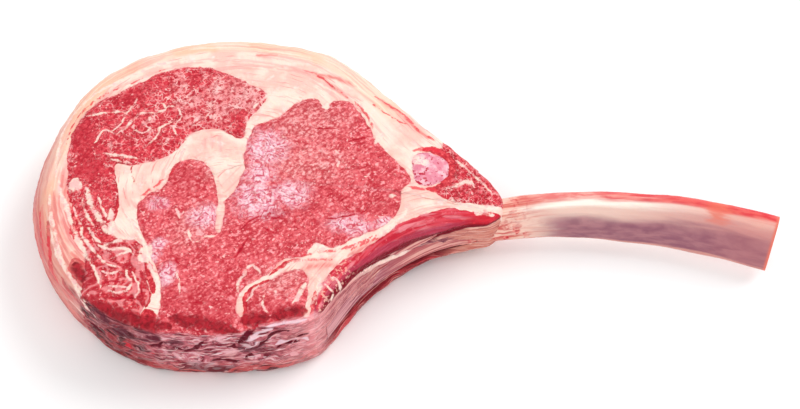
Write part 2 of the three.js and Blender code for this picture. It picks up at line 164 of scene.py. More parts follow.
# ---------------------------------------------------------------- marks on the meat
# Lines drawn on the cut faces: what they are, half their width, and the points they run through.
FACE_LINES = [
    # Fat in the cap muscle.
    ("cream", 0.5, (-78, 30), (-70.5, 31), (-63, 31), (-59, 28.5)),
    ("cream", 0.6, (-65, 20), (-61, 23), (-58.5, 27), (-55, 30.5), (-49.5, 30.5), (-45.5, 32), (-46, 34.5),
     (-48, 35.5)),
    ("cream", 0.5, (-45, 33.5), (-41, 33), (-38.5, 28.5)),
    ("cream", 0.5, (-61, 30.5), (-59, 34), (-57, 38)),
    ("cream", 0.45, (-73, 16.5), (-71.5, 20.5), (-69, 22.5), (-63.5, 20)),
    ("cream", 0.4, (-66, 22), (-63, 25.5), (-61.5, 29.5)),
    ("cream", 0.4, (-58, 22), (-53, 20.5), (-50.5, 24)),
    ("cream", 0.4, (-52, 14), (-48, 18.5), (-47, 23), (-42, 26)),
    ("cream", 0.4, (-40, 19), (-41.5, 24), (-38, 29)),
    ("cream", 0.5, (-10.5, 32), (-7, 36.5), (-4.5, 40)),
    ("cream", 0.6, (-69, 11.5), (-65.5, 10.5), (-60, 9.5), (-55, 8)),
    ("cream", 0.5, (-66, 8.5), (-61.5, 7), (-57, 6)),
    # Kernel of fat: the thread along the cap muscle, the grooves in it, and a slit in its left branch.
    ("cream", 0.7, (-39.5, 8), (-35.5, 16), (-32.5, 20.5)),
    ("groove", 0.9, (-26.3, 20.7), (-25.6, 13.5)),
    ("groove", 0.9, (-23, 20), (-22.2, 12)),
    ("groove", 0.8, (-29, 19), (-28.6, 13)),
    ("slit", 0.35, (-57, 5.5), (-56.5, 1), (-55.5, -2.5)),
    ("blood", 0.5, (-54, -11), (-50.5, -7.5), (-46, -3.5), (-41.5, 1.5), (-38, 6.5)),
    # Long streaks at the left, lean between them and in the seams at the front, and the rolled muscle's folds.
    ("flesh", 2.8, (-81.7, -5), (-77.9, -10.8), (-75.3, -18), (-73.7, -25.1), (-70.7, -30.8), (-68, -36)),
    ("flesh", 2.4, (-72.9, -17.4), (-69.3, -23.9), (-66.4, -28.9), (-63.6, -32.5)),
    ("flesh", 2.0, (-67.6, -22.6), (-63.5, -27.7), (-59.6, -30.6), (-54.7, -31.6)),
    ("flesh", 2.0, (-66.8, -30.3), (-62.2, -34.7), (-58, -34.8), (-52.6, -36.2)),
    ("flesh", 2.0, (-60.8, -37.4), (-55.9, -38.9), (-50, -38.9), (-47.4, -41.7), (-46.5, -47)),
    ("flesh", 1.0, (-79.5, -14.5), (-78.4, -22.1), (-76.8, -28.5)),
    ("flesh", 1.0, (-63, -2), (-62.4, -8), (-61.7, -13.6), (-62.3, -20.7)),
    ("flesh", 1.1, (-47.5, -50), (-46, -54), (-46.5, -59)),
    ("flesh", 1.1, (-8.2, -66), (-8.5, -58), (-8.2, -53.5), (-4, -49.8), (0.5, -46.8)),
    ("flesh", 0.9, (0, -45), (6, -40), (12, -38)),
    ("flesh", 3.6, (-46, -59.5), (-45.5, -64), (-45, -69), (-45, -73)),
    ("flesh", 2.6, (-10, -63.5), (-9, -68), (-8, -73)),
    # Painted shade along the near edge at the left, where the top rolls over.
    ("shade", 3.0, (-68, -57), (-60, -60.5), (-52, -63.5), (-44, -66), (-36, -67.5)),
    ("flesh", 1.0, (16.5, -66), (17.2, -59), (17.8, -52)),
    ("flesh", 3.6, (-77, -37.2), (-74.8, -40.8), (-71.8, -45.3), (-69, -49.5)),
    ("deep", 4.2, (-77, -37.2), (-74.8, -40.8), (-71.8, -45.3), (-69, -49.5)),
    # The darker middle of the oval of lean below the rolled muscle: its own colour.
    ("shade", 2.6, (-76.2, -38.5), (-73.6, -42.8), (-70.5, -47.5)),
    ("blush", 4.5, (-77.3, -33.5), (-74.8, -38.1), (-71.8, -42.8), (-69, -50)),
    # Painted shade: the soft upper fringe of the dark band along the near edge.
    ("deep", 4.5, (-38, -60.5), (-29, -61), (-20, -62), (-10, -61.5), (0, -60.5), (13, -59)),
    ("flesh", 1.3, (-48.5, -37), (-46.5, -42), (-45.3, -47), (-44, -53)),
    ("blush", 3.2, (-88, -4.9), (-86.4, -13.7), (-84.3, -22.9), (-81.5, -31.4), (-79, -40.1), (-74.6, -47.1)),
    ("blush", 1.6, (-84.5, 2), (-82.5, -7), (-80, -15), (-77.5, -22), (-73, -30)),
    ("cream", 0.6, (-74.5, -32), (-69.7, -38.4), (-66.7, -44), (-64.3, -50.9)),
    ("cream", 0.5, (-61.9, -38.1), (-57.9, -36.2), (-54.5, -34.8), (-52.6, -35.5)),
    ("cream", 1.1, (-86, 0), (-84.5, -6.5), (-81.5, -13.5), (-78, -23), (-73.5, -32), (-70.5, -37.5),
     (-67, -42)),
    ("cream", 1.3, (-74.5, -4), (-72, -12), (-68, -19), (-64, -25), (-59, -29)),
    ("cream", 0.7, (-79.5, -12.5), (-76.5, -18.5), (-73.5, -27), (-70, -32), (-64.5, -39), (-59.5, -41.5),
     (-55.5, -43.5)),
    ("cream", 0.7, (-67.5, -31.5), (-62.5, -33.5), (-56, -33.5), (-52, -36.5)),
    ("cream", 0.9, (-65, -32), (-60.8, -30), (-55.5, -28.7), (-51.9, -28.7)),
    ("cream", 1.3, (-63.5, -15), (-63, -22), (-61, -28)),
    ("cream", 0.5, (-76, -8), (-74.5, -14), (-71.5, -20), (-68, -25.5)),
    ("cream", 0.5, (-69.5, -9), (-67, -15), (-64.5, -19.5)),
    ("cream", 0.5, (-72, -23), (-68.5, -28), (-66, -31)),
    ("cream", 0.7, (-55.5, -42.5), (-54.5, -46), (-53, -49.5), (-54.5, -52.5), (-58.5, -53), (-62, -52)),
    ("cream", 0.5, (-62.5, -50), (-60, -50), (-53.5, -50.5)),
    ("cream", 0.6, (-53, -43.5), (-50, -49), (-49.5, -52.5), (-52, -56)),
    ("cream", 0.5, (-65, -43.5), (-61, -44.5), (-57, -43)),
    ("slit", 0.5, (-64.5, -49), (-60, -48), (-56.5, -48.5)),
    ("slit", 0.9, (-62, -55), (-57.5, -55.5), (-53.5, -55), (-50.5, -56)),
    ("slit", 0.5, (-51.5, -44.5), (-49, -50), (-48.5, -54)),
    # Seam along the left of the eye muscle, and thin fat in its left lobe.
    ("cream", 0.8, (-59, -14.5), (-54.5, -22.5), (-48.5, -32), (-47, -39.5), (-44, -46.5), (-42, -52.5),
     (-43.3, -59)),
    ("cream", 0.4, (-36.5, -42.5), (-34.5, -48), (-34, -54)),
    ("cream", 0.7, (-38, -15), (-36, -19.5)),
    ("cream", 0.5, (-33, -25), (-31, -30)),
    ("cream", 0.4, (-29.5, -31), (-26, -28.5), (-21, -27.5)),
    # Flecks and slits in the eye muscle, and the seam at its upper right.
    ("cream", 0.6, (24.5, 4), (26, 7)),
    ("cream", 0.8, (45.5, -9.5), (48.5, -9)),
    ("cream", 0.5, (23.5, 12), (25.5, 10.5)),
    ("cream", 0.5, (2.5, 19.5), (3.5, 18)),
    ("cream", 0.4, (36, -0.5), (38, -0.2)),
    ("slit", 0.5, (-8.5, -27), (-11.5, -33.5), (-16, -40.5)),
    ("slit", 0.4, (-13, -25.5), (-7.5, -20), (-1, -18), (6.5, -15.5)),
    ("slit", 0.35, (-9, -22.5), (-3.5, -20.2), (2.5, -19.2), (8, -16.6)),
    ("slit", 0.4, (-29.5, -56.5), (-23.5, -57.5)),
    ("slit", 0.35, (-39, -32), (-36, -39.5), (-31.5, -41.5)),
    ("slit", 0.45, (26.5, 16), (32.5, 17.5), (38, 19)),
    ("slit", 0.3, (13.5, 23.5), (19, 23), (26.5, 23.5)),
    ("slit", 0.35, (17.5, -6), (19.5, -4.5)),
    ("slit", 0.35, (20.5, -10), (23.5, -7.5)),
    ("slit", 0.35, (25.5, -12.2), (27.3, -11.3)),
    ("slit", 0.35, (20, -20), (27, -19), (35.5, -17), (39, -12.5)),
    ("slit", 0.35, (47.2, -6.8), (51.5, -4.7)),
    ("slit", 0.4, (0, -24), (4.5, -22), (10, -21.5)),
    ("slit", 0.3, (-4, -23.5), (0, -26), (5, -27.5)),
    ("cream", 0.5, (33, 36.5), (36.5, 30), (39.5, 24), (41, 16.5)),
    ("blood", 0.5, (30.6, 36.9), (34.4, 32.8), (38.2, 25.5), (39, 21.9)),
    # Muscle beside the rib's joint, and the seams about it.
    ("cream", 0.7, (-12, -54.5), (-11.5, -48), (-7.5, -41), (-4.5, -43), (-2.5, -45)),
    ("cream", 0.5, (-1.5, -53.5), (-2, -58.5), (0.5, -62.5)),
    ("cream", 0.5, (2, -52), (3, -53.5)),
    ("cream", 1.0, (8.5, -58), (11, -55.5), (12.5, -51), (14.5, -48.5)),
    ("cream", 1.3, (14.5, -44.5), (18, -45.5), (19, -49.5), (17.5, -55.5), (15, -59.5)),
    ("cream", 0.4, (-8, -57), (-6, -52), (-4, -49)),
    ("cream", 1.0, (0, -47), (4, -43), (9, -39.5), (15.5, -37), (23, -36), (29, -36)),
    ("cream", 1.0, (29, -33.5), (36, -29.5), (43.5, -26), (51, -18), (53, -12.5)),
    ("blood", 0.4, (30, -34.5), (36, -31), (42, -28)),
    ("blood", 0.4, (12, -38.6), (20, -38.2), (27, -38)),
    ("blush", 1.2, (11, -44), (14, -41.5), (19, -41), (25, -40.5)),
    ("blush", 1.0, (30, -36.5), (35, -33.5), (40, -30.5), (46, -26)),
    ("blood", 0.6, (8.8, -36.7), (14.9, -35.8), (21, -34.7), (27.1, -33.5), (33.3, -31.2), (41.4, -26.8)),
    ("cream", 0.5, (23, -46), (26.5, -47.5), (27, -51)),
    ("cream", 0.4, (21, -49), (24, -52), (23, -56)),
    # Tail and gristle.
    ("flesh", 2.1, (59, 14.4), (64, 14.6), (69.5, 12), (71.2, 6), (69.5, 1), (66, -3.4), (60, -4.2)),
    ("blood", 0.8, (53, -4.5), (59, -4.5), (66, -4)),
    ("cream", 0.9, (70, -3), (77, 1), (80, -1.5)),
    ("cream", 0.6, (63.8, -11.5), (69.7, -8.1), (74.8, -10), (80.7, -10.8)),
    ("cream", 1.3, (80.7, -11), (84, -10), (88, -9.6)),
    ("blood", 0.8, (54.5, 12.8), (60.5, 15), (67, 14.4), (69.5, 13)),
    ("cream", 0.6, (72, 12), (77, 6.5), (83, 1), (87, -4)),
    # Lines in the fat cap.
    ("groove", 0.7, (-1.5, 53), (9, 51.5), (17, 46.5), (23, 43), (29, 40), (35, 36.5)),
    ("groove", 0.6, (-20, 56), (-8, 54.5), (2, 54)),
    ("blush", 0.9, (12.9, 52.2), (19.9, 46.6), (26, 41), (29.1, 38.3)),
    ("blood", 0.35, (12.9, 52.2), (19.9, 46.6), (26, 41), (29.1, 38.3)),
    ("blush", 0.9, (16, 50.5), (23, 48.5), (27.5, 47), (32, 44)),
    ("blood", 0.35, (38.1, 35.5), (42.6, 31.9), (48.6, 27.7), (53, 25.9)),
    ("blush", 1.1, (40, 39.5), (48, 33), (55, 25.5), (62, 19.5)),
    ("blood", 0.6, (38.8, 40.6), (44.8, 36), (51.6, 31), (56.8, 24.1), (60.5, 21.2), (66.4, 17.7)),
    ("groove", 0.6, (-36, 57), (-52, 51), (-66, 43.5), (-78, 33), (-86, 19), (-88, 2)),
    ("cream", 0.8, (-28, 57), (-47, 56), (-61, 49.5), (-76, 41), (-86, 28.5), (-88, 12), (-87, 0)),
    ("blush", 0.9, (-10, 60.3), (-1, 59.9)),
    ("blood", 0.35, (-46, 53.8), (-58.5, 47.2), (-73.5, 39.2), (-83, 27.5), (-84.8, 13)),
]
# Lines on the slice's side, the near side's first and then the tail's: kind, half the width, and points.
SIDE_LINES = [
    ("cream", 0.9, (-88.8, -1.9, 32.1), (-88, -12, 32), (-86.1, -22.3, 31.4), (-83.4, -32.3, 30.7),
     (-78.9, -40.7, 30.9), (-73.3, -49, 31.1), (-69.3, -54.5, 30.3)),
    ("flesh", 1.6, (-86, -33, 29), (-85, -37, 24.5), (-84.8, -39, 19)),
    ("flesh", 1.3, (-88, -18, 30.7), (-87, -24, 30), (-87, -31, 28.7)),
    ("flesh", 1.8, (-81, -42, 28.5), (-76.5, -48.2, 26.1), (-71.7, -53, 25), (-68, -56.5, 20.2)),
    ("flesh", 1.4, (-92, -18, 20), (-89, -28, 15), (-85, -36, 12)),
    ("blush", 3.0, (-94, -8, 26), (-91, -22, 20), (-86, -34, 14), (-79, -45, 9), (-70, -54, 8)),
    ("blush", 2.2, (-91, -10, 30), (-87, -26, 26), (-82, -38, 22), (-75, -48, 16)),
    ("cream", 0.9, (-88, -7, 32), (-85.5, -20.5, 32), (-83.5, -27.5, 32), (-80.5, -37, 31),
     (-74.5, -47.5, 31), (-70, -54.5, 28.5), (-63, -60, 24)),
    ("cream", 0.8, (-82.5, -28, 32), (-80, -37.5, 31.5), (-76, -44, 31.5), (-71.5, -49.5, 32)),
    ("cream", 0.7, (-78.5, -46.5, 19), (-73.5, -51.5, 18.5), (-71.5, -53.5, 18)),
    ("slit", 0.8, (-71, -53.5, 16), (-67.5, -57, 14), (-62, -61, 13.5), (-56.5, -64.5, 14.5)),
    ("blood", 1.6, (-87.5, -24.5, 30), (-86.5, -30, 29), (-85.5, -35, 27.5)),
    ("blood", 1.0, (-90, -12, 27), (-88.5, -22, 25), (-85.5, -31, 22)),
    ("blood", 0.8, (-84, -36, 24), (-80, -42, 21), (-75, -48, 19)),
    ("blood", 0.8, (-63.5, -60, 21), (-56, -64.5, 18), (-52.5, -66.5, 14), (-50, -67.5, 13.5)),
    ("blood", 1.0, (-56, -64.5, 16), (-51, -67, 15.5), (-44.5, -69, 15)),
    ("cream", 1.0, (-42.5, -69, 16.5), (-38.5, -70, 15.5)),
    ("slit", 0.7, (-36.5, -70, 24), (-33.5, -70, 21), (-30, -70.5, 22), (-24.5, -71, 29)),
    ("slit", 0.8, (-25, -71, 12), (-20.5, -71, 14.5), (-14.5, -71, 12), (-11.5, -70.5, 12.5)),
    ("slit", 0.6, (-9.5, -70.5, 15.5), (-7, -70, 17.5)),
    ("slit", 0.8, (-3.5, -69.5, 24), (1.5, -69, 31), (5, -68, 32.5), (8, -67.5, 30.5)),
    ("slit", 0.6, (10.5, -67, 26), (16, -65, 25.5)),
    # Painted shade: the dark band where the top rolls over into the near side.
    ("shade", 3.6, (-38, -63.5, 35), (-29, -64.8, 35), (-21, -66.8, 34.6), (-14, -68.5, 33.5),
     (-10, -69.8, 31)),
    ("shade", 3.2, (-10.5, -65.2, 34.8), (-4, -63.9, 35), (1, -62.7, 35)),
    ("shade", 3.6, (1, -62.7, 35), (6, -62, 35), (10.5, -61.2, 35), (15, -60.4, 35)),
    ("slit", 1.1, (-11, -70.5, 27), (-8, -69, 32), (-3.5, -66.5, 35)),
    ("slit", 0.5, (-16, -71, 24), (-12, -70.5, 27)),
    ("slit", 0.5, (2, -69, 20), (7, -68, 21.5), (12, -66, 20)),
    ("slit", 0.5, (-46, -68.5, 22), (-42, -69.5, 24), (-39.5, -70, 28)),
    # Painted highlights along the near side's membrane.
    ("pale", 0.8, (-2, -67, 34), (5, -65, 34), (15, -63, 33)),
    ("pale", 0.8, (-9.5, -70.5, 29), (-3.5, -69, 33), (2, -67.5, 34)),
    ("pale", 0.7, (-9, -70.5, 22), (-4, -69.7, 27), (1, -69, 28)),
    ("pale", 0.9, (2, -69, 24), (8, -67.6, 25), (15, -65.3, 22)),
    ("cream", 0.5, (32.5, -43.5, 30.2), (38.5, -37, 27.2), (45.5, -31, 23.8), (50, -28, 22.3), (54, -25, 20.6)),
    ("cream", 1.2, (79, -13, 27.8), (83, -12.8, 27.9), (88, -12.5, 26.8)),
    ("blush", 4.0, (60, 23.4, 30), (56.5, 25.5, 18), (60, 23.4, 5)),
    ("cream", 1.3, (64, 20.5, 25), (68, 18.3, 24), (73, 15.5, 24.6), (77, 12.5, 24)),
    ("cream", 1.0, (64, 20.5, 11), (69, 17.5, 12), (72, 16, 11.6)),
    ("cream", 0.8, (74, 14.5, 17), (80, 9.5, 18), (84, 5.5, 17.2)),
    ("blood", 1.0, (78, -15.8, 25), (82.3, -15.2, 26.2), (85.6, -15, 26), (88.5, -13.8, 25.5)),
]

# Patches on the cut faces: the middle, the half length and width, and the turn in degrees.
FACE_PATCHES = {
    # Painted sheen: the pale gloss of wet meat, painted into the colour.
    "sheen": [
        ((-4, 13.5), (8, 7.5), 0), ((-6, 0.5), (5.5, 5.5), 0), ((-6, -11), (10, 8), -30),
        ((7, -8.5), (7, 5.5), -10), ((30, -22.5), (8.5, 4), -8), ((42.5, -21.5), (4, 1.6), 25),
        ((-44.5, -34), (2.5, 6), -25), ((-39.5, -45), (3.2, 5), -20), ((-26, -19), (6, 5), 0),
        ((-45, -13), (4, 3), 0),
    ],
    "rosy": [
        ((14, 26), (15, 9), 15), ((14, 6), (15, 9), 0), ((4, -47.5), (9, 7), 20), ((-22, 2), (6, 9), 30),
        ((-32, -24), (6, 10), -20), ((-18, 40), (10, 8), 0),
    ],
    "pale": [
        ((-40.5, 45), (2.6, 7), 10), ((-37, 36.5), (5, 4), 0), ((-25.5, 40), (2.4, 9), -4),
        ((-25, 30), (5, 5), 0), ((-12, 39), (5, 6), -40), ((-34, 27), (5, 3), 20),
    ],
    "marbled": [
        ((-50, 21), (13, 8), 10), ((-31, 40), (15, 10), 0), ((-66, 21), (5, 5), 0), ((-14, 36), (9, 8), 0),
        ((-48, 36), (9, 6), 0),
    ],
    "deep": [
        ((-25, -56), (13, 5), 0), ((-69, -47), (3, 5), 20), ((-78, 20), (5, 9), 10), ((-75, 5), (6, 7), 20),
        ((-60, 38), (7, 3), 30), ((-33, -1), (6, 6), 0), ((43, -14), (5, 4), 30), ((13, 34), (6, 4), 0),
        ((0, 25), (8, 2.2), 15), ((-66, -55), (4, 3), -30), ((-48.5, -53), (3, 5), 10),
        ((-72.5, -43), (3, 7), 25), ((5, -17), (14, 2), 12),
    ],
    "cream": [
        ((-79, -3.8), (3, 3.2), 0), ((19.8, 34.2), (1.6, 1.6), 0), ((41.5, 18), (3.2, 1.3), 60),
        ((58, 8.6), (3.8, 2.6), -20), ((-51.5, 27.5), (0.7, 1.1), 0), ((19, -32.5), (2.4, 1.6), 0),
        ((-48.5, -35.5), (2.6, 4), -20),
    ],
}
# Patches on the slice's side: the middle, and the reach along the side and up it.
SIDE_PATCHES = {
    # Painted shade at the near side's left corner and at a notch.
    "shade": [((-56, -61.5, 31), (5, 3)), ((-66, -56, 27), (4, 4)), ((-9, -70, 30), (2.5, 4))],
    "purple": [
        ((-61, -61.5, 28), (10, 6.5)), ((-45, -67, 27), (5, 5)), ((62, -20.5, 18), (9, 2.8)),
        ((-7, -70, 24), (5, 5)), ((-36, -70, 27), (4, 3)),
    ],
}
KINDS = sorted({kind for kind, *_ in FACE_LINES + SIDE_LINES} | FACE_PATCHES.keys() | SIDE_PATCHES.keys())
# Kinds whose patches have a crisp edge, and how soft the edges of patches are.
CRISP = ("cream", "purple")
CRISP_EDGE = 0.25
SOFT_EDGE = 0.6


# ---------------------------------------------------------------- numbers and curves
def between(value, low, high):
    """0 below `low`, 1 above `high`, and a smooth climb from one to the other."""
    share = np.clip((value - low) / (high - low), 0, 1)
    return share * share * (3 - 2 * share)


def bump(value, middle, width):
    """1 at `middle`, falling smoothly to nothing about two widths away."""
    return np.exp(-((value - middle) / width) ** 2)


def noise(points, size, seed):
    """Smooth noise, between about -1 and 1, whose features are about `size` across."""
    scaled = points / size + seed * 3.7
    cell = np.floor(scaled).astype(np.int64)
    inside = scaled - cell
    ease = inside ** 3 * (inside * (inside * 6 - 15) + 10)
    total = np.zeros(len(points))
    for corner in itertools.product((0, 1), repeat=3):
        # A hash of the cell's corner gives the gradient there.
        key = (cell + corner) @ np.array([73856093, 19349663, 83492791]) + seed * 7919
        key = (key ^ (key >> 13)) * 1274126177 % 4294967296
        key = key ^ (key >> 16)
        gradient = np.stack([(key >> shift & 255) / 127.5 - 1 for shift in (0, 8, 16)], axis=1)
        weight = np.prod(np.where(corner, ease, 1 - ease), axis=1)
        total += weight * np.einsum("ij,ij->i", gradient, inside - corner)
    return total * 1.7


def spline(points, step, closed=False):
    """Points at even steps along the smooth curve through the given ones."""
    corners = np.array(points, float)
    if closed:
        corners = np.vstack([corners[-1:], corners, corners[:2]])
    else:
        corners = np.vstack([2 * corners[0] - corners[1], corners, 2 * corners[-1] - corners[-2]])
    t = np.linspace(0, 1, 20, endpoint=False)[:, None]
    pieces = [
        0.5 * (2 * b + (c - a) * t + (2 * a - 5 * b + 4 * c - d) * t ** 2 + (3 * b - a - 3 * c + d) * t ** 3)
        for a, b, c, d in zip(corners, corners[1:], corners[2:], corners[3:])
    ]
    fine = np.vstack([*pieces, corners[-2:-1]])
    along = np.r_[0, np.cumsum(np.linalg.norm(np.diff(fine, axis=0), axis=1))]
    places = np.linspace(0, along[-1], max(2, round(along[-1] / step)) + 1)
    curve = np.column_stack([np.interp(places, along, values) for values in fine.T])
    return curve[:-1] if closed else curve


def around_ring(ring, places):
    """A closed ring read at places along it, which are counted in its corners."""
    corners = np.arange(len(ring) + 1)
    return np.column_stack([np.interp(places, corners, np.r_[values, values[0]]) for values in ring.T])


def outward(ring):
    """The outward direction at each point of an anticlockwise ring."""
    along = np.roll(ring, -1, axis=0) - np.roll(ring, 1, axis=0)
    along /= np.linalg.norm(along, axis=1)[:, None]
    return np.column_stack([along[:, 1], -along[:, 0]])


def anticlockwise(ring):
    x, y = ring.T
    area = np.sum(x * np.roll(y, -1) - y * np.roll(x, -1))
    return ring if area > 0 else ring[::-1]


def turn_of(flat):
    """Degrees, anticlockwise from +X, at which each point lies about the middle of the slice."""
    return np.degrees(np.arctan2(flat[:, 1] - MIDDLE[1], flat[:, 0] - MIDDLE[0])) % 360


def nearest(points, line, chunk=4000):
    """For each point, how far it is from a line, and the place along the line that is nearest."""
    starts = line[:-1]
    steps = line[1:] - starts
    lengths = np.linalg.norm(steps, axis=1)
    before = np.r_[0, np.cumsum(lengths)[:-1]]
    distance = np.empty(len(points))
    place = np.empty(len(points))
    for first in range(0, len(points), chunk):
        part = slice(first, first + chunk)
        offset = points[part, None, :] - starts[None]
        share = np.clip(np.einsum("ijk,jk->ij", offset, steps) / lengths ** 2, 0, 1)
        gap = offset - share[..., None] * steps
        squared_gap = np.einsum("ijk,ijk->ij", gap, gap)
        best = np.argmin(squared_gap, axis=1)
        rows = np.arange(len(best))
        distance[part] = np.sqrt(squared_gap[rows, best])
        place[part] = before[best] + share[rows, best] * lengths[best]
    return distance, place


def closest(points, corners):
    """For each point, how far the nearest of the corners is, and which of them that is."""
    tree = KDTree(len(corners))
    for index, corner in enumerate(corners.tolist()):
        tree.insert((*corner, 0), index)
    tree.balance()
    found = [tree.find((*point, 0)) for point in points.tolist()]
    return np.array([distance for _, _, distance in found]), np.array([index for _, index, _ in found])


def is_inside(points, ring):
    """Whether each point lies inside a closed ring."""
    x, y = points.T
    inside = np.zeros(len(points), bool)
    for (ax, ay), (bx, by) in zip(ring, np.roll(ring, -1, axis=0)):
        if ay != by:
            rows = np.nonzero((ay > y) != (by > y))[0]
            crossed = x[rows] < (bx - ax) * (y[rows] - ay) / (by - ay) + ax
            inside[rows] ^= crossed
    return inside


def line_marks(points, lines):
    """1 on any of the lines, thinning out towards their ends; each line is (half its width, its points)."""
    marks = np.zeros(len(points))
    for width, line in lines:
        curve = spline(line, 1.0)
        near = np.all((points > curve.min(0) - 3 * width) & (points < curve.max(0) + 3 * width), axis=1)
        if near.any():
            distance, place = nearest(points[near], curve)
            length = np.linalg.norm(np.diff(curve, axis=0), axis=1).sum()
            taper = np.clip(4 * place / length, 0, 1) * np.clip(4 * (1 - place / length), 0, 1)
            size = width * np.sqrt(taper) + 0.1
            marks[near] = np.maximum(marks[near], np.exp(-(distance / size) ** 2))
    return marks


# ---------------------------------------------------------------- meshes
def new_object(name, points, faces):
    """A mesh object from points in millimetres and an array, or a list, of faces."""
    mesh = bpy.data.meshes.new(name)
    mesh.from_pydata((np.asarray(points) * MM).tolist(), [], [list(face) for face in faces])
    mesh.validate()
    return placed(name, mesh)


def placed(name, data):
    """A new object of the scene with that mesh or lamp."""
    piece = bpy.data.objects.new(name, data)
    bpy.context.scene.collection.objects.link(piece)
    return piece


def vertex_places(piece):
    values = np.empty(len(piece.data.vertices) * 3)
    piece.data.vertices.foreach_get("co", values)
    return values.reshape(-1, 3) / MM


def vertex_normals(points, quads):
    across = np.cross(points[quads[:, 2]] - points[quads[:, 0]], points[quads[:, 3]] - points[quads[:, 1]])
    total = np.zeros_like(points)
    for corner in quads.T:
        for axis in range(3):
            total[:, axis] += np.bincount(corner, across[:, axis], minlength=len(points))
    return total / np.maximum(np.linalg.norm(total, axis=1), 1e-9)[:, None]


def carve(piece, cutter, operation):
    """Takes the cutter away from the piece (DIFFERENCE), or keeps only what lies inside it (INTERSECT)."""
    modifier = piece.modifiers.new("cut", "BOOLEAN")
    modifier.operation = operation
    modifier.solver = "MANIFOLD"
    modifier.object = cutter
    bpy.context.view_layer.update()
    cut = bpy.data.meshes.new_from_object(piece.evaluated_get(bpy.context.evaluated_depsgraph_get()))
    piece.modifiers.clear()
    piece.data = cut


def store(piece, name, values):
    """Keeps a number or a vector for each point of the piece, for its material to read."""
    values = np.asarray(values, np.float32)
    kind, key = ("FLOAT", "value") if values.ndim == 1 else ("FLOAT_VECTOR", "vector")
    attribute = piece.data.attributes.new(name, kind, "POINT")
    attribute.data.foreach_set(key, values.ravel())


def finish_piece(piece, node, slot, material):
    piece.data.materials.clear()
    piece.data.materials.append(material)
    piece.data.shade_smooth()
    piece.data.set_sharp_from_angle(angle=math.radians(SHARP_ANGLE))
    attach(piece, "root")
    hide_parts(node)


# ---------------------------------------------------------------- the slice
EDGE = spline(OUTLINE, LINE_STEP, closed=True)


def top_height(x):
    return THICKNESS - TAIL_DROP * between(x, *TAIL) - HEEL_DROP * between(-x, *HEEL)


def bottom_height(x):
    return TAIL_LIFT * between(x, *TAIL)


def membrane_height(x):
    return np.interp(x, *zip(*MEMBRANE))


def near_side(x, y):
    """How much a place belongs to the stretch of the slice's side that the rib runs along."""
    return between(x, *RIB_STRETCH) * (y < RIB_STRETCH_Y)


def shoulder_along(edge):
    """The radius of the upper edge's rounding: wide at the fat cap, small where the rib runs out."""
    turn = turn_of(edge)
    start, full, fading, end = SHOULDER_CHANGES
    fatty = between(turn, start, full) * (1 - between(turn, fading, end))
    over_rib = near_side(*edge.T) * (1 - between(edge[:, 0], *RIB_SHOULDER_END))
    plain_or_rib = PLAIN_SHOULDER + (RIB_SHOULDER - PLAIN_SHOULDER) * over_rib
    return plain_or_rib + (CAP_SHOULDER - PLAIN_SHOULDER) * fatty


def face_points(rim, height):
    """Points of one face of the slice: a square grid, wrapped so that its rings of squares follow the rim."""
    steps = np.arange(GRID) - RINGS
    u, v = (values.ravel() for values in np.meshgrid(steps, steps, indexing="ij"))
    radius = np.maximum(np.abs(u), np.abs(v))
    safe = np.maximum(radius, 1)
    turns = np.select(
        [u == radius, v == radius, u == -radius],
        [v / safe / 8, 0.25 - u / safe / 8, 0.5 - v / safe / 8],
        0.75 + u / safe / 8,
    ) % 1
    flat = MIDDLE + (around_ring(rim, turns * AROUND) - MIDDLE) * (radius / RINGS)[:, None]
    return np.column_stack([flat, height(flat[:, 0])])


def grid_border():
    """The outermost corners of a face's grid, in the order in which the slice's outline runs."""
    k = np.arange(AROUND)
    sides = [k <= RINGS, k <= 3 * RINGS, k <= 5 * RINGS, k <= 7 * RINGS]
    column = np.select(sides, [2 * RINGS, 3 * RINGS - k, 0 * k, k - 5 * RINGS], 2 * RINGS)
    row = np.select(sides, [RINGS + k, 2 * RINGS, 5 * RINGS - k, 0 * k], k - 7 * RINGS)
    return column * GRID + row


def side_points(edge, shoulder, high, low):
    """Rows of points down the slice's side: over the rounded upper edge, straight down, and under the foot."""
    out = outward(edge)
    lengths = [shoulder * math.pi / 2, high - shoulder - low - FOOT, np.full(AROUND, FOOT * math.pi / 2)]
    for row in range(1, SIDE_ROWS):
        way = row / SIDE_ROWS * sum(lengths)
        first = np.clip(way / shoulder, 0, math.pi / 2)
        last = np.clip((way - lengths[0] - lengths[1]) / FOOT, 0, math.pi / 2)
        straight = np.clip(way - lengths[0], 0, lengths[1])
        inset = shoulder * (1 - np.sin(first)) + FOOT * (1 - np.cos(last))
        z = high - shoulder * (1 - np.cos(first)) - straight - FOOT * np.sin(last)
        yield np.column_stack([edge - out * inset[:, None], z])


def slice_surface():
    """Points and faces of the uncut slice: two faces, and rows of squares down the side between them."""
    edge = around_ring(EDGE, np.linspace(0, len(EDGE), AROUND, endpoint=False))
    shoulder = shoulder_along(edge)
    upper_rim = edge - outward(edge) * shoulder[:, None]
    lower_rim = edge - outward(edge) * FOOT
    high, low = top_height(upper_rim[:, 0]), bottom_height(lower_rim[:, 0])
    top, bottom = face_points(upper_rim, top_height), face_points(lower_rim, bottom_height)
    points = np.vstack([top, *side_points(edge, shoulder, high, low), bottom])

    corner = (np.arange(GRID - 1)[:, None] * GRID + np.arange(GRID - 1)).ravel()
    squares = np.column_stack([corner, corner + GRID, corner + GRID + 1, corner + 1])
    last_start = len(top) + (SIDE_ROWS - 1) * AROUND
    faces = [squares, squares[:, ::-1] + last_start]
    rows = [len(top) + row * AROUND + np.arange(AROUND) for row in range(SIDE_ROWS - 1)]
    loops = [grid_border(), *rows, grid_border() + last_start]
    for upper, lower in zip(loops, loops[1:]):
        faces.append(np.column_stack([lower, np.roll(lower, -1), np.roll(upper, -1), upper]))
    return points, np.vstack(faces)


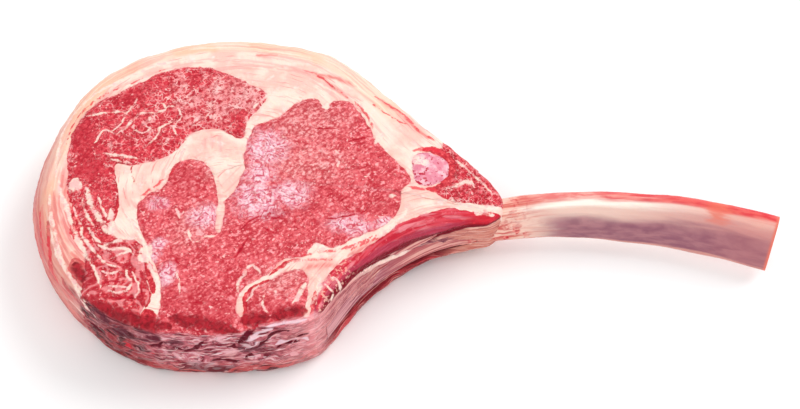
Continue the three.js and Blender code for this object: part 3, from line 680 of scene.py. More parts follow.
def muscle_ring(outline, seed):
    """A muscle's outline as it really runs: wavering a little to either side of the drawn one."""
    ring = anticlockwise(spline(outline, CUT_STEP, closed=True))
    flat = np.column_stack([ring, np.zeros(len(ring))])
    waver = 0.8 * noise(flat, 7, seed) + 0.45 * noise(flat, 2.8, seed + 1)
    return ring + outward(ring) * waver[:, None]


RINGS_OF = {name: muscle_ring(outline, 20 + 3 * i) for i, (name, outline) in enumerate(MUSCLES.items())}
RINGS_OF["intercostal_muscle_lower"] = RINGS_OF["intercostal_muscle_upper"]
ALL_RINGS = np.vstack([
    np.vstack([ring, (ring + np.roll(ring, 1, axis=0)) / 2]) for ring in RINGS_OF.values()
])


def side_places(points):
    """Each point's place when the slice's side is rolled out flat: along it, and down over its upper edge."""
    points = np.asarray(points)
    inset, index = closest(points[:, :2], EDGE)
    return np.column_stack([index * LINE_STEP, top_height(points[:, 0]) - points[:, 2] - inset])


ROLLED_LINES = [(kind, width, side_places(line)) for kind, width, *line in SIDE_LINES]


class Marks:
    """Where a set of points carries the lines and patches listed above."""

    def __init__(self, points):
        drop = top_height(points[:, 0]) - points[:, 2]
        rise = points[:, 2] - bottom_height(points[:, 0])
        wander = np.column_stack([noise(points, 25, 71), noise(points, 25, 72)]) * 4
        self.flat = points[:, :2] + wander * between(drop, 3, THICKNESS)[:, None]
        self.on_face = np.maximum(between(drop, 5.5, 2.5), between(rise, 3, 1))
        self.side = side_places(points)
        self.on_side = between(rise, 1, 3)
        self.waver = np.column_stack([noise(points, 2.5, 73), noise(points, 2.5, 74)]) * 0.5
        self.ragged = 0.3 * noise(points, 3, 75) + 0.15 * noise(points, 1.2, 76)

    def patch(self, places, middle, sizes, turn, soft):
        """1 well inside an ellipse and 0 outside it, with a ragged edge."""
        cos, sin = math.cos(math.radians(turn)), math.sin(math.radians(turn))
        u, v = ((places - middle) @ [[cos, -sin], [sin, cos]]).T
        return between(np.hypot(u / sizes[0], v / sizes[1]) + self.ragged, 1 + soft, 1 - soft)

    def of(self, kind):
        """How strongly each point is marked with one kind, 0 to 1."""
        soft = CRISP_EDGE if kind in CRISP else SOFT_EDGE
        face_lines = [(width, line) for what, width, *line in FACE_LINES if what == kind]
        side_lines = [(width, line) for what, width, line in ROLLED_LINES if what == kind]
        marks = [
            self.on_face * line_marks(self.flat + self.waver, face_lines),
            self.on_side * line_marks(self.side + self.waver, side_lines),
        ]
        for middle, sizes, turn in FACE_PATCHES.get(kind, []):
            marks.append(self.on_face * self.patch(self.flat, middle, sizes, turn, soft))
        for middle, sizes in SIDE_PATCHES.get(kind, []):
            marks.append(self.on_side * self.patch(self.side, side_places([middle])[0], sizes, 0, soft))
        return np.max(marks, axis=0)


def slice_relief(points, normals):
    """How far each point of the slice's surface stands out of its plain shape."""
    x, y, z = points.T
    flat = points[:, :2]
    up = between(np.abs(normals[:, 2]), 0.3, 0.8)
    side = 1 - np.abs(normals[:, 2])
    marks = Marks(points)
    relief = 0.28 * noise(points, 13, 1) + 0.2 * noise(points, 5, 2) + 0.14 * noise(points, 2.2, 3)

    # The muscles swell a little, and the seams between them lie deeper.
    rim, _ = closest(flat, ALL_RINGS)
    lean = np.any([is_inside(flat, ring) for ring in RINGS_OF.values()], axis=0)
    relief += up * (0.5 * (1 - np.exp(-rim / 2.5)) * lean - 0.4 * bump(rim, 0, 0.8))

    # Long low ridges along the side, and the folds of the near side's membrane.
    ridges = np.column_stack([marks.side / [14, 2.2], np.zeros(len(points))])
    relief += side * (0.35 * noise(ridges, 1, 4) + 0.3 * noise(points * [1, 1, 0.5], 7, 5))
    folded = side * between(x, -72, -60) * between(x, 24, 16) * (y < -40)
    drawn_out = points * [0.6, 0.6, 1.3]
    relief += folded * (1.0 * noise(drawn_out, 6, 6) + 0.6 * noise(drawn_out, 2.6, 7))

    # Steps in the muscle above and below the rib.
    stretch = near_side(x, y) * between(x, 86, 72) * side
    above = z - membrane_height(x)
    relief += stretch * (
        0.4 * bump(above, 4.5, 2.5) - 0.9 * bump(above, 1.5, 1.4) + 0.4 * bump(above, -0.8, 0.7)
        - 1.6 * bump(z, 10.5, 1.2) + 0.6 * bump(z, 5.5, 3)
    )
    relief += 0.2 * marks.of("cream") - (0.3 + 0.5 * side) * marks.of("slit") - 0.4 * marks.of("groove")
    return relief + 0.25 * marks.of("pale") * side


def make_slice():
    points, faces = slice_surface()
    normals = vertex_normals(points, faces)
    points = points + normals * slice_relief(points, normals)[:, None]
    points[:, 2] = np.maximum(points[:, 2], 0)
    return new_object("slice", points, faces)


def prism(ring, low, high):
    """An upright tool that cuts along a ring, from one height to another."""
    count = len(ring)
    points = np.vstack([np.column_stack([ring, np.full(count, z)]) for z in (low, high)])
    k = np.arange(count)
    sides = np.column_stack([k, np.roll(k, -1), np.roll(k, -1) + count, k + count]).tolist()
    return new_object("cutter", points, [*sides, list(range(count))[::-1], list(range(count, 2 * count))])


# ---------------------------------------------------------------- the rib
def rib_pattern(share, angle, broad):
    """Places for patterns on the rib: along it, across its broad faces and through it."""
    return np.column_stack([share * RIB_PATTERN, np.sin(angle) * broad, np.cos(angle) * 5])


def rib_relief(share, angle):
    """How far the rib's surface stands out: a soft ridge, low waves, and scraps where the meat ends."""
    places = rib_pattern(share, angle, 11)
    waves = 0.45 * noise(places, 18, 51) + 0.18 * noise(places * [0.3, 1, 1], 3, 52)
    waves += 0.06 * noise(places, 1.5, 53)
    scraps = bump(share, MEAT_END, 0.045) * (0.7 * noise(places, 3.2, 54) + 0.35 * noise(places, 1.6, 55))
    return waves + scraps + 0.5 * bump(np.sin(angle), 0.45, 0.3) * (np.cos(angle) > 0)


def squared_up(values):
    """Sines or cosines changed so that they draw a rounded square instead of a circle."""
    return np.sign(values) * np.abs(values) ** RIB_SQUARENESS


def rib_surface(grow, stations, around, relief=None):
    """Points and faces of the rib; `grow` thickens it, for the hollow that it lies in."""
    line = spline(RIB_LINE, LINE_STEP)
    share = np.linspace(0, 1, stations + 1)
    place = np.column_stack([np.interp(share, np.linspace(0, 1, len(line)), values) for values in line.T])
    along = np.gradient(place, axis=0)
    along /= np.linalg.norm(along, axis=1)[:, None]
    place[0] -= along[0] * grow
    sideways = np.cross([0, 0, 1], along)
    sideways /= np.linalg.norm(sideways, axis=1)[:, None]
    change = between(share, 0, 1)
    lean = np.radians(RIB_LEAN[0] + (RIB_LEAN[1] - RIB_LEAN[0]) * change)[:, None]
    broad = np.array([0, 0, 1]) * np.cos(lean) + sideways * np.sin(lean)
    thin = np.cross(along, broad)
    angle = np.tile(np.linspace(0, 2 * math.pi, around, endpoint=False), (stations + 1, 1))
    out = relief(np.repeat(share, around), angle.ravel()).reshape(angle.shape) if relief else 0 * angle
    half_width = (RIB_WIDTH[0] + (RIB_WIDTH[1] - RIB_WIDTH[0]) * change)[:, None] / 2 + grow + out
    half_thickness = RIB_THICKNESS / 2 + grow + out
    rings = (
        place[:, None]
        + broad[:, None] * (half_width * squared_up(np.sin(angle)))[..., None]
        + thin[:, None] * (half_thickness * squared_up(np.cos(angle)))[..., None]
    )
    row, k = np.arange(stations)[:, None], np.arange(around)[None]
    a, b = row * around + k, row * around + (k + 1) % around
    faces = np.stack([a, a + around, b + around, b], axis=-1).reshape(-1, 4)
    return rings.reshape(-1, 3), faces, np.repeat(share, around), angle.ravel(), place


def make_rib_cutter():
    points, faces, _, _, _ = rib_surface(RIB_CLEARANCE, HOLLOW_STATIONS, HOLLOW_AROUND)
    first = list(range(HOLLOW_AROUND))
    last = [HOLLOW_STATIONS * HOLLOW_AROUND + k for k in first]
    return new_object("cutter", points, [*faces.tolist(), first, last[::-1]])


# ---------------------------------------------------------------- camera, light and floor
VIEW_FROM = 58  # degrees above the board
VIEW_DISTANCE = 707
VIEW_AT = (50, 0, 14)
FLOOR_REACH = 3000


def make_camera():
    camera = placed("camera", bpy.data.cameras.new("camera"))
    camera.data.lens = 78
    camera.data.sensor_width = 36
    camera.data.clip_start = 0.01
    tilt = math.radians(VIEW_FROM)
    back = np.array([0, -math.cos(tilt), math.sin(tilt)])
    camera.location = (np.array(VIEW_AT) + back * VIEW_DISTANCE) * MM
    camera.rotation_euler = (math.pi / 2 - tilt, 0, 0)
    bpy.context.scene.camera = camera


def sunlight(name, direction, softness, strength):
    """Light from a direction, given as a vector towards it, and as soft as a disk of that many degrees."""
    lamp = bpy.data.lights.new(name, "SUN")
    lamp.angle = math.radians(softness)
    lamp.energy = strength
    placed(name, lamp).rotation_euler = Vector(direction).to_track_quat("Z", "Y").to_euler()


def make_studio():
    world = bpy.context.scene.world or bpy.data.worlds.new("studio")
    bpy.context.scene.world = world
    world.use_nodes = True
    background = world.node_tree.nodes["Background"]
    background.inputs["Color"].default_value = (1, 1, 1, 1)
    background.inputs["Strength"].default_value = 0.8
    sunlight("key", (0.8, 0.45, 0.8), 35, 1.3)
    sunlight("fill", (-0.7, 0.1, 0.9), 60, 0.4)
    sunlight("front", (0, -0.7, 0.7), 60, 0.3)
    corners = [(x * FLOOR_REACH, y * FLOOR_REACH, 0) for x, y in ((-1, -1), (1, -1), (1, 1), (-1, 1))]
    floor = new_object("floor", corners, [(0, 1, 2, 3)])
    material = bpy.data.materials.new("pale_floor")
    material.use_nodes = True
    shader = material.node_tree.nodes["Principled BSDF"]
    shader.inputs["Base Color"].default_value = (0.97, 0.97, 0.97, 1)
    shader.inputs["Roughness"].default_value = 0.9
    floor.data.materials.append(material)
    bpy.context.scene.view_settings.view_transform = "Standard"


# ---------------------------------------------------------------- what each point of the meat shows
def mark_meat(piece):
    """Stores on the piece all that its material reads: marks, and the place of each point on the slice."""
    points = vertex_places(piece)
    x, y, z = points.T
    marks = Marks(points)
    for kind in KINDS:
        store(piece, kind, marks.of(kind))
    down = marks.side[:, 1] + 1.2 * noise(points, 7, 61) + 0.7 * noise(points, 2.5, 62)
    down += 4.5 * between(x, -14, 6) * between(x, 24, 14)
    near = (y < -20) * between(x + 7 * noise(points, 6, 64), -79, -68) * between(x, 26, 16)
    store(piece, "film", near * between(down, 0, 2) * between(z, 0.2, 1.5))
    store(piece, "rim", closest(points[:, :2], ALL_RINGS)[0])
    turn = turn_of(points)
    fatty = between(turn, 20, 34) * between(turn, 232, 212)
    store(piece, "skin", fatty * between(marks.side[:, 1] + 0.8 * noise(points, 9, 63), -12.5, -9.5))
    store(piece, "flow", np.column_stack([marks.side, np.zeros(len(points))]) * MM)
    rib_middle = np.interp(x, [point[0] for point in RIB_LINE], [point[2] for point in RIB_LINE])
    store(piece, "level", z - rib_middle)
    store(piece, "lift", (z - membrane_height(x)) / (top_height(x) - membrane_height(x)))


# ---------------------------------------------------------------- materials
# Colours are as they are seen: red, green and blue, 0 to 255.
CREAM = (252, 224, 210)
PALE = (250, 200, 196)
ROSE = (242, 158, 160)
DEEP_RED = (176, 24, 42)
FIBRE_TURN = 35  # degrees from the rib's direction


def linear(colour):
    """A colour as it is seen, turned into the linear values that the shader takes."""
    values = [c / 255 for c in colour]
    return (*[c / 12.92 if c <= 0.04045 else ((c + 0.055) / 1.055) ** 2.4 for c in values], 1)


class Value:
    """What comes out of a node: a colour, or a number or mask that can be added and multiplied."""

    def __init__(self, shader, socket):
        self.shader = shader
        self.socket = socket

    def math(self, operation, other):
        return self.shader.node("ShaderNodeMath", 0, {0: self, 1: other}, operation=operation)

    def __add__(self, other):
        return self.math("ADD", other)

    def __sub__(self, other):
        return self.math("SUBTRACT", other)

    def __mul__(self, other):
        return self.math("MULTIPLY", other)

    def __or__(self, other):
        """The larger of two, so a mask of all that is in either."""
        return self.math("MAXIMUM", other)

    def step(self, low, high, least=0, most=1):
        """A smooth step from `least` to `most` as the value goes from low to high."""
        return self.shader.node("ShaderNodeMapRange", "Result", {
            "Value": self, "From Min": low, "From Max": high, "To Min": least, "To Max": most,
        }, interpolation_type="SMOOTHSTEP")

    def blend(self, first, second):
        """The first colour where the mask is 0, and the second where it is 1."""
        colours = [linear(colour) if isinstance(colour, tuple) else colour for colour in (first, second)]
        return self.shader.node("ShaderNodeMix", 2, {0: self, 6: colours[0], 7: colours[1]}, data_type="RGBA")


def layered(colour, *layers):
    """A colour with others laid over it in turn; each layer is a mask and a colour."""
    for mask, over in layers:
        colour = mask.blend(colour, over)
    return colour


class Shader:
    """A material's node tree, built a step at a time."""

    def __init__(self, name, wet, specular=0.12):
        self.material = bpy.data.materials.new(name)
        self.material.use_nodes = True
        self.tree = self.material.node_tree
        self.surface = self.tree.nodes["Principled BSDF"]
        self.set(self.surface, {"Specular IOR Level": specular, "Coat Weight": wet, "Coat Roughness": 0.12})
        self.place = self.node("ShaderNodeTexCoord", "Object")

    def set(self, node, inputs):
        """Gives a node's inputs their values, or links them to what other nodes give."""
        for name, value in inputs.items():
            if isinstance(value, Value):
                self.tree.links.new(value.socket, node.inputs[name])
            else:
                node.inputs[name].default_value = value

    def node(self, kind, output, inputs=None, **settings):
        """What comes out of a new node of that kind, with those inputs and settings."""
        made = self.tree.nodes.new(kind)
        for name, value in settings.items():
            setattr(made, name, value)
        self.set(made, inputs or {})
        return Value(self, made.outputs[output])

    def value(self, name):
        """A number stored at the points."""
        return self.node("ShaderNodeAttribute", "Fac", attribute_name=name)

    def along(self, axis, low, high, least=0, most=1):
        """A smooth step along an axis of the frame, between two places in millimetres."""
        return self.node("ShaderNodeSeparateXYZ", axis, {0: self.place}).step(low * MM, high * MM, least, most)

    def clouds(self, places, size, detail, warp, output="Fac"):
        """Noise read at those places; its output "Color" is a vector of three noises."""
        return self.node("ShaderNodeTexNoise", output, {
            "Vector": places, "Scale": 1 / (size * MM), "Detail": detail, "Distortion": warp,
        })

    def noise(self, size, detail=2, warp=0):
        """Cloudy noise, 0 to 1, whose features are about `size` millimetres across."""
        return self.clouds(self.place, size, detail, warp)

    def streaks(self, length, width, detail=2, warp=0.3):
        """Noise drawn out along the slice's side, or along the rib, in streaks of that length and width."""
        flow = self.node("ShaderNodeAttribute", "Vector", attribute_name="flow")
        squeeze = (width / length, 1, 1)
        squeezed = self.node("ShaderNodeVectorMath", 0, {0: flow, 1: squeeze}, operation="MULTIPLY")
        return self.clouds(squeezed, width, detail, warp)

    def bent_place(self, size, bend):
        """The place of each point, shifted about by noise of that size so that patterns in it are bent."""
        shift = self.clouds(self.place, size * 0.9, 2, 0, "Color")
        reach = size * bend * MM * 2
        scaled = self.node("ShaderNodeVectorMath", 0, {0: shift, "Scale": reach}, operation="SCALE")
        return self.node("ShaderNodeVectorMath", 0, {0: self.place, 1: scaled}, operation="ADD")

    def fibres(self, length, width):
        """Noise drawn out across the face in short bent strokes of that length and width."""
        turned = self.node("ShaderNodeMapping", "Vector", {
            "Vector": self.bent_place(9, 0.35), "Rotation": (0, 0, math.radians(FIBRE_TURN)),
            "Scale": (length / width, 1, 1),
        }, vector_type="TEXTURE")
        return self.clouds(turned, width, 2, 0.4)

    def cells(self, size, bend, feature):
        """Distance from the middles (F1) or the borders (DISTANCE_TO_EDGE) of bent cells of that size."""
        return self.node("ShaderNodeTexVoronoi", "Distance", {
            "Vector": self.bent_place(size, bend), "Scale": 1 / (size * MM),
        }, feature=feature)

    def veins(self, size, bend):
        """Distance, 0 to about 0.5, from a net of bent lines about `size` millimetres apart."""
        return self.cells(size, bend, "DISTANCE_TO_EDGE")

    def grains(self, size):
        """Rounded grains about `size` millimetres across: 1 at their middles, 0 between them."""
        return self.cells(size, 0.3, "F1").step(0.8, 0.1)

    def whorls(self, size, turns):
        """Waves, 0 to 1, in rings that wind about each other like the contour lines of a hilly map."""
        return (self.noise(size, 1.5, 0.4) * (turns * 2 * math.pi)).math("SINE", 0) * 0.5 + 0.5

    def finish(self, colour, height, depth, roughness, glow):
        """The material, with relief up to `depth` millimetres and a `glow` of light scattered inside."""
        inputs = {"Height": height, "Distance": depth * MM, "Strength": 1}
        relief = self.node("ShaderNodeBump", "Normal", inputs)
        self.set(self.surface, {
            "Base Color": colour, "Normal": relief, "Roughness": roughness, "Subsurface Weight": glow,
            "Subsurface Radius": (1.2, 0.6, 0.4), "Subsurface Scale": MM,
        })
        return self.material


def with_film(s, colour):
    """A colour with the dark band of painted shade along the edge over it, and below that the near side's
    folded membrane.
    """
    # The dark band: painted shade along the near edge, and the darker middle of the oval of lean.
    patchy = s.value("shade") + (s.noise(3, 4, 0.6) - 0.5) * 1.6
    band = (patchy * s.value("shade").step(0.02, 0.5)).step(0.05, 0.9, 0, 0.95)
    band_colour = s.noise(2.2, 3, 0.6).step(0.38, 0.62).blend((130, 2, 22), (174, 22, 40))
    folds = s.streaks(8, 3.4, 4, 1.4)
    low = s.streaks(9, 3.4, 3, 0.8).step(0.46, 0.53).blend((84, 0, 12), (198, 80, 80))
    left = layered(
        folds.step(0.45, 0.53).blend((66, 0, 10), (156, 40, 46)),
        # Painted highlights on the streaks at the left end.
        (s.streaks(5, 1.4, 3, 1).step(0.56, 0.62, 0, 0.75), (212, 142, 148)),
    )
    film = layered(
        folds.step(0.36, 0.5).blend((122, 22, 44), (196, 100, 112)),
        # Painted highlights on the tops of the folds.
        (folds.step(0.53, 0.64), (238, 178, 186)),
        (s.noise(3.2, 3, 0.8).step(0.55, 0.66, 0, 0.75), (112, 14, 38)),
        # Painted glints.
        (s.streaks(6, 0.8).step(0.57, 0.66, 0, 0.8), (250, 220, 224)),
        (s.along("Z", 14, 5, 0, 0.9), low),
        # Painted highlights on the lower streaks.
        (s.streaks(7, 1, warp=0.8).step(0.57, 0.65, 0, 0.7), (240, 180, 180)),
        # Painted shade and painted light: the near side darker towards its left end and lighter towards its
        # right, as the light falls from the right.
        (s.along("X", -36, -56, 0, 0.85), left),
        (s.along("X", -2, 18, 0, 0.5), (250, 164, 166)),
        (s.value("purple") * folds.step(0.62, 0.45, 0.3, 0.95), (100, 24, 44)),
        # Painted highlights along the pale lines.
        (s.value("pale").step(0.2, 0.8, 0, 0.85), (246, 212, 222)),
        (s.value("slit").step(0.15, 0.6), (104, 2, 30)),
    )
    return layered(colour, (band, band_colour), (s.value("film"), film))


def with_lines(s, colour):
    """A colour with the cream lines, the blood and the slits over it."""
    ragged = s.noise(0.8).step(0.25, 0.6, 0.5, 1) * s.noise(4).step(0.32, 0.58, 0.45, 1)
    broken = ragged * s.noise(5).step(0.36, 0.52, 0.3, 1)
    threads = s.noise(2.5).step(0.46, 0.62).blend(CREAM, PALE)
    cut = s.value("slit") * s.value("film").step(0.7, 0.3)
    return layered(
        colour,
        ((s.value("cream") * ragged).step(0.2, 0.7, 0, 0.9), threads),
        ((s.value("blood") * broken).step(0.2, 0.6, 0, 0.8), (224, 44, 62)),
        ((cut * (broken + 0.2)).step(0.25, 0.7, 0, 0.9), (196, 14, 44)),
        ((cut * broken).step(0.6, 0.85, 0, 0.8), (142, 4, 26)),
    )


def flesh_colour(s, deep, mid, light):
    """The mottled red of lean meat, and the pattern of clumps, fibres and grains that it follows."""
    grain = s.noise(1.7, 4, 0.7) * 0.4 + s.fibres(4, 1) * 0.35 + s.noise(0.6) * 0.15 + s.grains(1.4) * 0.1
    colour = layered(
        (grain * 0.75 + s.noise(6) * 0.25).step(0.41, 0.54).blend(deep, mid),
        (grain.step(0.51, 0.62, 0, 0.95), light),
        (s.fibres(2.2, 0.7).step(0.43, 0.33, 0, 0.65), DEEP_RED),
        (s.value("deep") * 0.36, grain.step(0.4, 0.6).blend(DEEP_RED, deep)),
    )
    return colour, grain


def marbling(s, amount, net_size):
    """Where pale fat veins the lean: a fine net, a wide one, and specks, closest in the marbled places."""
    density = (s.value("marbled") * 0.6 + amount) * s.value("deep").step(0, 0.8, 1, 0.2)
    patchy = density * s.noise(4.5).step(0.42, 0.62, 0.1, 1)
    near_fat = s.value("rim").step(2.2, 0.2)
    reach = patchy * 0.1 + (near_fat * 0.04 + s.value("pale") * 0.07)
    fine_net = (s.veins(net_size, 0.8) - reach).step(0.05, -0.05)
    wide_net = (s.veins(7.5, 1) - patchy * 0.05).step(0.015, -0.01)
    net = (fine_net | wide_net) * s.noise(3).step(0.35, 0.6, 0.15, 0.95) * density.step(0, 0.3, 0.35, 1)
    specks = s.noise(1.5, 1).step(0.66, 0.73) * s.noise(7).step(0.4, 0.6, 0.25, 0.9)
    return net | specks


def lean_material(name, deep, mid, light, amount, net_size=2.3, folded=0):
    """Raw muscle: grainy and wet, with an amount of pale marbling, and a painted sheen with painted glints
    where wet meat catches light.
    """
    s = Shader(name, 0.08)
    flesh, grain = flesh_colour(s, deep, mid, light)
    folds = s.whorls(9, 5)
    whorls = s.whorls(8, 10)
    dots = s.noise(0.75, 1).step(0.65, 0.74, 0, 0.7) * s.noise(5).step(0.38, 0.6, 0.25, 1)
    # The painted sheen: pale pink gloss with red rings, and white painted glints.
    sheen = layered(
        s.noise(1.1).step(0.4, 0.6).blend((236, 156, 174), (252, 214, 222)),
        ((whorls + s.noise(1.2) * 1.5).step(1.05, 0.75, 0, 0.85), (204, 60, 88)),
        (s.noise(0.9).step(0.6, 0.68, 0, 0.8), (255, 240, 244)),
    )
    colour = layered(
        flesh,
        (folds.step(0.6, 0.95, 0, folded), ROSE),
        (folds.step(0.35, 0.05, 0, folded), DEEP_RED),
        (s.value("pale") * grain.step(0.42, 0.62, 0, 0.6), PALE),
        (s.value("rosy") * grain.step(0.4, 0.6, 0.05, 0.45), PALE),
        (marbling(s, amount, net_size), s.noise(5, 1).step(0.4, 0.6).blend(PALE, ROSE)),
        (dots * s.value("deep").step(0.7, 0), PALE),
        # The painted sheen laid over the flesh in its patches.
        (s.value("sheen") * s.noise(3, 3).step(0.34, 0.48, 0.4, 0.95), sheen),
    )
    height = grain * 0.9 + s.noise(0.5) * 0.45 + s.streaks(9, 1.4) * s.value("film")
    height = height + whorls * (s.value("sheen") * 0.3)
    return s.finish(with_lines(s, with_film(s, colour)), height, 0.8, grain.step(0.35, 0.65, 0.5, 0.3), 0.2)


def fat_material():
    """Fat: cream where it is cut, peach with long streaks on the outside, with lean and blood in it."""
    s = Shader("fat", 0.08)
    fine = s.noise(0.8, 3)
    long_streaks = s.streaks(34, 1.9, 3)
    reddened = s.along("X", -66, -78) * s.along("Y", 16, -8)
    cut = layered(
        s.noise(10, 3).step(0.4, 0.6).blend((254, 222, 208), (250, 196, 184)),
        (s.noise(5, 3).step(0.58, 0.76, 0, 0.6), (255, 244, 238)),
        (long_streaks.step(0.54, 0.66, 0, 0.6), (240, 168, 162)),
        (s.streaks(16, 0.9).step(0.6, 0.7, 0, 0.6), (228, 112, 116)),
        (reddened * s.streaks(22, 1.5).step(0.5, 0.6, 0, 0.7), (222, 108, 110)),
    )
    lower = s.along("Z", 34, 27) * s.along("Y", 55, 0)
    skin = layered(
        s.noise(18).step(0.42, 0.6).blend((248, 196, 168), (251, 210, 190)),
        (long_streaks.step(0.52, 0.62, 0, 0.5), (228, 152, 144)),
        (long_streaks.step(0.44, 0.36, 0, 0.6), (253, 230, 214)),
        (lower * s.streaks(20, 2.6).step(0.38, 0.54, 0.65, 1), (204, 104, 102)),
    )
    flesh, _ = flesh_colour(s, (182, 26, 42), (216, 62, 72), (238, 118, 120))
    ragged = s.value("flesh") + (s.noise(1.6) - 0.5) * 0.8
    behind_tail = s.along("Y", 8, 12) * s.along("Z", 32, 29) * s.along("X", 50, 56)
    torn_edge = (s.value("rim") + s.noise(3.5, 3) * 16).step(9.2, 8.2)
    colour = layered(
        s.value("skin").blend(cut, skin),
        (s.value("blush") * s.streaks(12, 1.2, 3).step(0.38, 0.56, 0.4, 0.95), (228, 130, 124)),
        ((s.value("rim") + s.noise(1.6) * 2.2).step(1.5, 1, 0, 0.7), (234, 136, 136)),
        (s.value("groove").step(0.2, 0.9, 0, 0.5), (236, 174, 168)),
        (ragged.step(0.3, 0.5) * s.value("skin").step(0, 1, 1, 0.7), flesh),
        (behind_tail * torn_edge, flesh),
    )
    height = long_streaks * 0.9 + fine * 0.35
    return s.finish(with_lines(s, with_film(s, colour)), height, 0.7, fine.step(0.3, 0.7, 0.5, 0.35), 0.25)


def strip_material():
    """Muscle between the ribs: a painted sheen above and painted shade in the crease under it, a pale membrane
    beside the rib, a dark flap below.
    """
    s = Shader("strip", 0.06, 0.08)
    grain = s.noise(1.2, 3, 0.4)
    lines = s.streaks(16, 1.3, 3)
    level = s.value("level") + (s.noise(5) - 0.5) * 1.5
    lift = s.value("lift") + (s.noise(5) - 0.5) * 0.15
    shadow = lift + s.along("X", 50, 66, 0, 0.1)
    muscle = layered(
        lines.step(0.4, 0.6).blend((196, 36, 56), (222, 74, 88)),
        (grain.step(0.57, 0.7, 0, 0.5), (236, 126, 134)),
        # Painted sheen on the muscle's upper part.
        (s.streaks(9, 2.6).step(0.5, 0.66) * lift.step(0.55, 0.8) * 0.5, (246, 168, 176)),
        # Painted shade in the crease below the muscle: mauve, then near black.
        (shadow.step(0.82, 0.68, 0, 0.75), (168, 52, 78)),
        (shadow.step(0.58, 0.46, 0, 0.95), (122, 0, 26)),
        # Painted glints on the streaks in the crease.
        (lines.step(0.56, 0.66, 0, 0.5) * shadow.step(0.48, 0.56), (190, 84, 108)),
        (s.along("X", 70, 82, 0, 0.8) * shadow.step(0.3, 0.5), (206, 24, 44)),
    )
    tendon = s.along("X", 56, 78).blend((180, 88, 96), (212, 132, 116))
    inner = s.streaks(9, 1.6, 3).step(0.4, 0.58).blend((150, 62, 74), (214, 142, 142))
    membrane = layered(
        lines.step(0.46, 0.66).blend(tendon, (230, 172, 158)),
        (s.streaks(13, 0.9).step(0.51, 0.6, 0, 0.85) * s.along("X", 58, 76, 1, 0.55), (156, 24, 40)),
        (lift.step(-0.16, -0.07) * s.along("X", 62, 52, 0.15, 1), (252, 212, 200)),
        (s.along("X", 48, 28, 0, 0.75), inner),
        (s.value("purple") * lines.step(0.72, 0.5), (118, 40, 66)),
    )
    flap = layered(
        lines.step(0.42, 0.62).blend((118, 6, 22), (190, 56, 64)),
        (s.streaks(15, 1.2).step(0.54, 0.62, 0, 0.7), (226, 148, 142)),
        # Painted shade in the crease at the top of the flap.
        (level.step(-9.4, -7.8), (92, 0, 18)),
    )
    speckle = s.along("X", 36, 26) * s.noise(1.4).step(0.53, 0.62) * lift.step(0.1, 0.4)
    colour = layered(
        muscle,
        (lift.step(0.06, 0), membrane),
        (level.step(-5, -6.5) * s.along("X", 78, 62), flap),
        (speckle * 0.75, (246, 186, 170)),
    )
    height = lines * s.along("X", 58, 76, 1, 0.4) + grain * 0.4
    return s.finish(with_lines(s, with_film(s, colour)), height, 0.8, grain.step(0.3, 0.7, 0.4, 0.22), 0.2)


def gristle_material():
    """Gristle: pale and glossy, with spots of blood, most of them at its near left end."""
    s = Shader("gristle", 0.25)
    spots = s.noise(1.3) + s.along("X", 63, 58) * s.along("Y", 6, 2) * 0.1
    pale = s.noise(3, 3).step(0.42, 0.62).blend((224, 132, 152), (238, 184, 194))
    colour = layered(pale, (spots.step(0.6, 0.68), (190, 26, 60)))
    return s.finish(with_lines(s, colour), spots, 0.5, 0.3, 0.25)


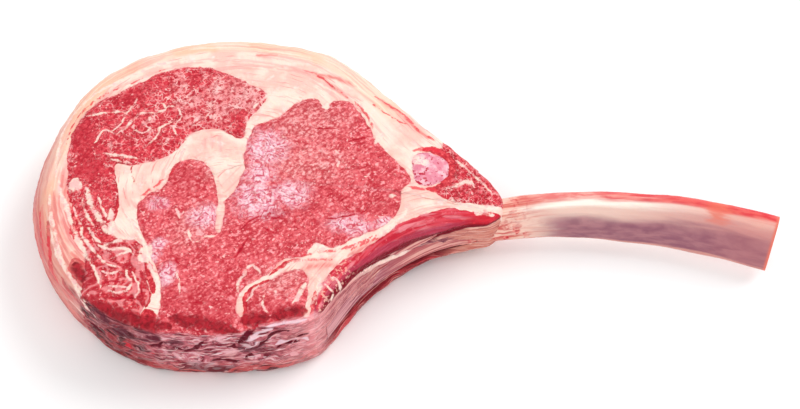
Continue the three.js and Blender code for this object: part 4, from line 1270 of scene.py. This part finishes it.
def bone_material():
    """Scraped rib: red along its upper edge, cream below that, then mauve, partly painted light: palest on the
    ridge that faces up, darker lower down; membrane where meat holds it.
    """
    s = Shader("bone", 0.1)
    share = s.value("share")
    across = s.value("across") + (s.streaks(26, 3) - 0.5) * 0.5
    grain = s.streaks(24, 1.5, 3)
    blotch = s.streaks(7, 2.5, 3)
    begins = share + (blotch - 0.5) * 0.08
    # Partly the bone's colour and partly painted light: the cream along the upper ridge is in part painted
    # highlight, and the fall to beige and mauve below it is in part painted shade.
    towards_end = share.step(0.62, 0.95)
    cream = towards_end.blend((255, 248, 236), (236, 178, 166))
    beige = towards_end.blend((240, 204, 190), (212, 146, 142))
    mauve = layered(
        blotch.step(0.3, 0.7).blend((142, 84, 104), (172, 114, 124)),
        (share.step(0.82, 0.97, 0, 0.4), (190, 120, 122)),
    )
    blotched = blotch.step(0.35, 0.65)
    pink = blotched.blend((242, 176, 164), (224, 108, 106))
    red = blotched.blend((232, 94, 90), (218, 36, 54))
    stain = begins.step(0.845, 0.88) * begins.step(0.92, 0.885) * across.step(0.15, 0.5, 0, 0.75)
    strands = layered(
        grain.step(0.42, 0.58).blend((216, 112, 100), (248, 200, 182)),
        (s.streaks(9, 1.8, 3).step(0.52, 0.6, 0, 0.85), (206, 62, 62)),
    )
    scraps = s.noise(3.5, 3).step(0.52, 0.6) * share.step(0.525, 0.48, 0, 0.95)
    scraps = scraps * across.step(0.1, -0.3, 0.45, 1)
    raw = s.noise(1.5).step(0.42, 0.6).blend((200, 36, 50), (238, 140, 130))
    bedded = grain.step(0.42, 0.58).blend((184, 88, 92), (232, 168, 158))
    deepest = grain.step(0.4, 0.6).blend((156, 72, 88), (208, 142, 146))
    colour = layered(
        across.step(0.66, 0.3).blend(cream, beige),
        (across.step(0.3, -0.1) * begins.step(0.5, 0.59, 0, 0.95), mauve),
        (across.step(-0.7, -0.95, 0, 0.8), (226, 160, 148)),
        (across.step(0.64, 0.94, 0, 0.95), begins.step(0.58, 0.74).blend(pink, red)),
        (stain, (234, 116, 96)),
        ((share + grain * 0.16).step(0.64, 0.53, 0, 0.95), strands),
        (scraps, raw),
        (share.step(0.4, 0.36), share.step(0.26, 0.14).blend(bedded, deepest)),
        (s.value("rim"), (232, 120, 100)),
        (s.value("marrow"), s.noise(0.9).step(0.45, 0.6).blend((150, 50, 46), (226, 150, 130))),
    )
    height = grain + s.noise(0.9, 3) * 0.3
    return s.finish(colour, height, 0.35, grain.step(0.3, 0.7, 0.45, 0.3), 0.15)


# ---------------------------------------------------------------- pieces
SLOTS = {
    "eye_muscle": "eye", "cap_muscle": "cap", "rolled_muscle": "rolled", "rib_side_muscle": "rib_side",
    "intercostal_muscle_upper": "intercostal_upper", "intercostal_muscle_lower": "intercostal_lower",
    "tail_muscle": "tail", "gristle": "gristle",
}
LEVELS = {"intercostal_muscle_upper": (RIB_LEVEL, ABOVE), "intercostal_muscle_lower": (BELOW, RIB_LEVEL)}


def make_meat(materials):
    """Cuts the slice along the muscles' outlines; what is left between them is the fat."""
    body = make_slice()
    hollow = make_rib_cutter()
    carve(body, hollow, "DIFFERENCE")
    fat = placed("fat_cap_and_seams", body.data.copy())
    for name, ring in RINGS_OF.items():
        cutter = prism(ring, *LEVELS.get(name, (BELOW, ABOVE)))
        piece = placed(name + "_meat", body.data.copy())
        carve(piece, cutter, "INTERSECT")
        carve(fat, cutter, "DIFFERENCE")
        bpy.data.objects.remove(cutter)
        mark_meat(piece)
        finish_piece(piece, name, SLOTS[name], materials[name])
    mark_meat(fat)
    finish_piece(fat, "fat", "fat", materials["fat"])
    bpy.data.objects.remove(body)
    bpy.data.objects.remove(hollow)


def make_rib(material):
    points, faces, share, angle, places = rib_surface(0, RIB_STATIONS, RIB_AROUND, rib_relief)
    points, faces = list(points), faces.tolist()
    share, angle = list(share), list(angle)
    marrow = [0.0] * len(points)
    for first, middle, flip in ((0, places[0], 1), (RIB_STATIONS * RIB_AROUND, places[-1], -1)):
        outer = list(range(first, first + RIB_AROUND))
        for inset in END_RINGS:
            inner = list(range(len(points), len(points) + RIB_AROUND))
            points += [middle + (points[i] - middle) * inset for i in range(first, first + RIB_AROUND)]
            share += [share[first]] * RIB_AROUND
            angle += angle[first:first + RIB_AROUND]
            marrow += [float(inset < MARROW)] * RIB_AROUND
            for a, b, c, d in zip(outer, outer[1:] + outer[:1], inner[1:] + inner[:1], inner):
                faces.append([a, b, c, d][::flip])
            outer = inner
        faces.append(outer[::flip])
    piece = new_object("rib", np.array(points), faces)
    share, angle, marrow = np.array(share), np.array(angle), np.array(marrow)
    store(piece, "across", np.where(np.cos(angle) > -0.3, np.sin(angle), 0.3))
    store(piece, "share", share)
    store(piece, "marrow", marrow)
    store(piece, "rim", between(share, 0.992, 0.999) * (1 - marrow))
    store(piece, "flow", rib_pattern(share, angle, 12) * MM)
    finish_piece(piece, "rib_bone", "bone", material)


lean = lean_material("lean", (196, 46, 60), (230, 98, 106), (250, 164, 168), 0)
marbled = lean_material("marbled_lean", (184, 28, 46), (218, 58, 72), (238, 100, 108), 0.3, 2.8)
streaky = lean_material("streaky_lean", (176, 26, 42), (216, 56, 68), (240, 116, 118), 0.12, 2.6, 0.6)
coarse = lean_material("coarse_lean", (172, 12, 34), (212, 42, 60), (238, 100, 112), 0.45, 2)
strip = strip_material()
make_camera()
make_studio()
make_meat({
    "eye_muscle": lean, "cap_muscle": marbled, "rolled_muscle": streaky, "rib_side_muscle": lean,
    "intercostal_muscle_upper": strip, "intercostal_muscle_lower": strip, "tail_muscle": coarse,
    "gristle": gristle_material(), "fat": fat_material(),
})
make_rib(bone_material())
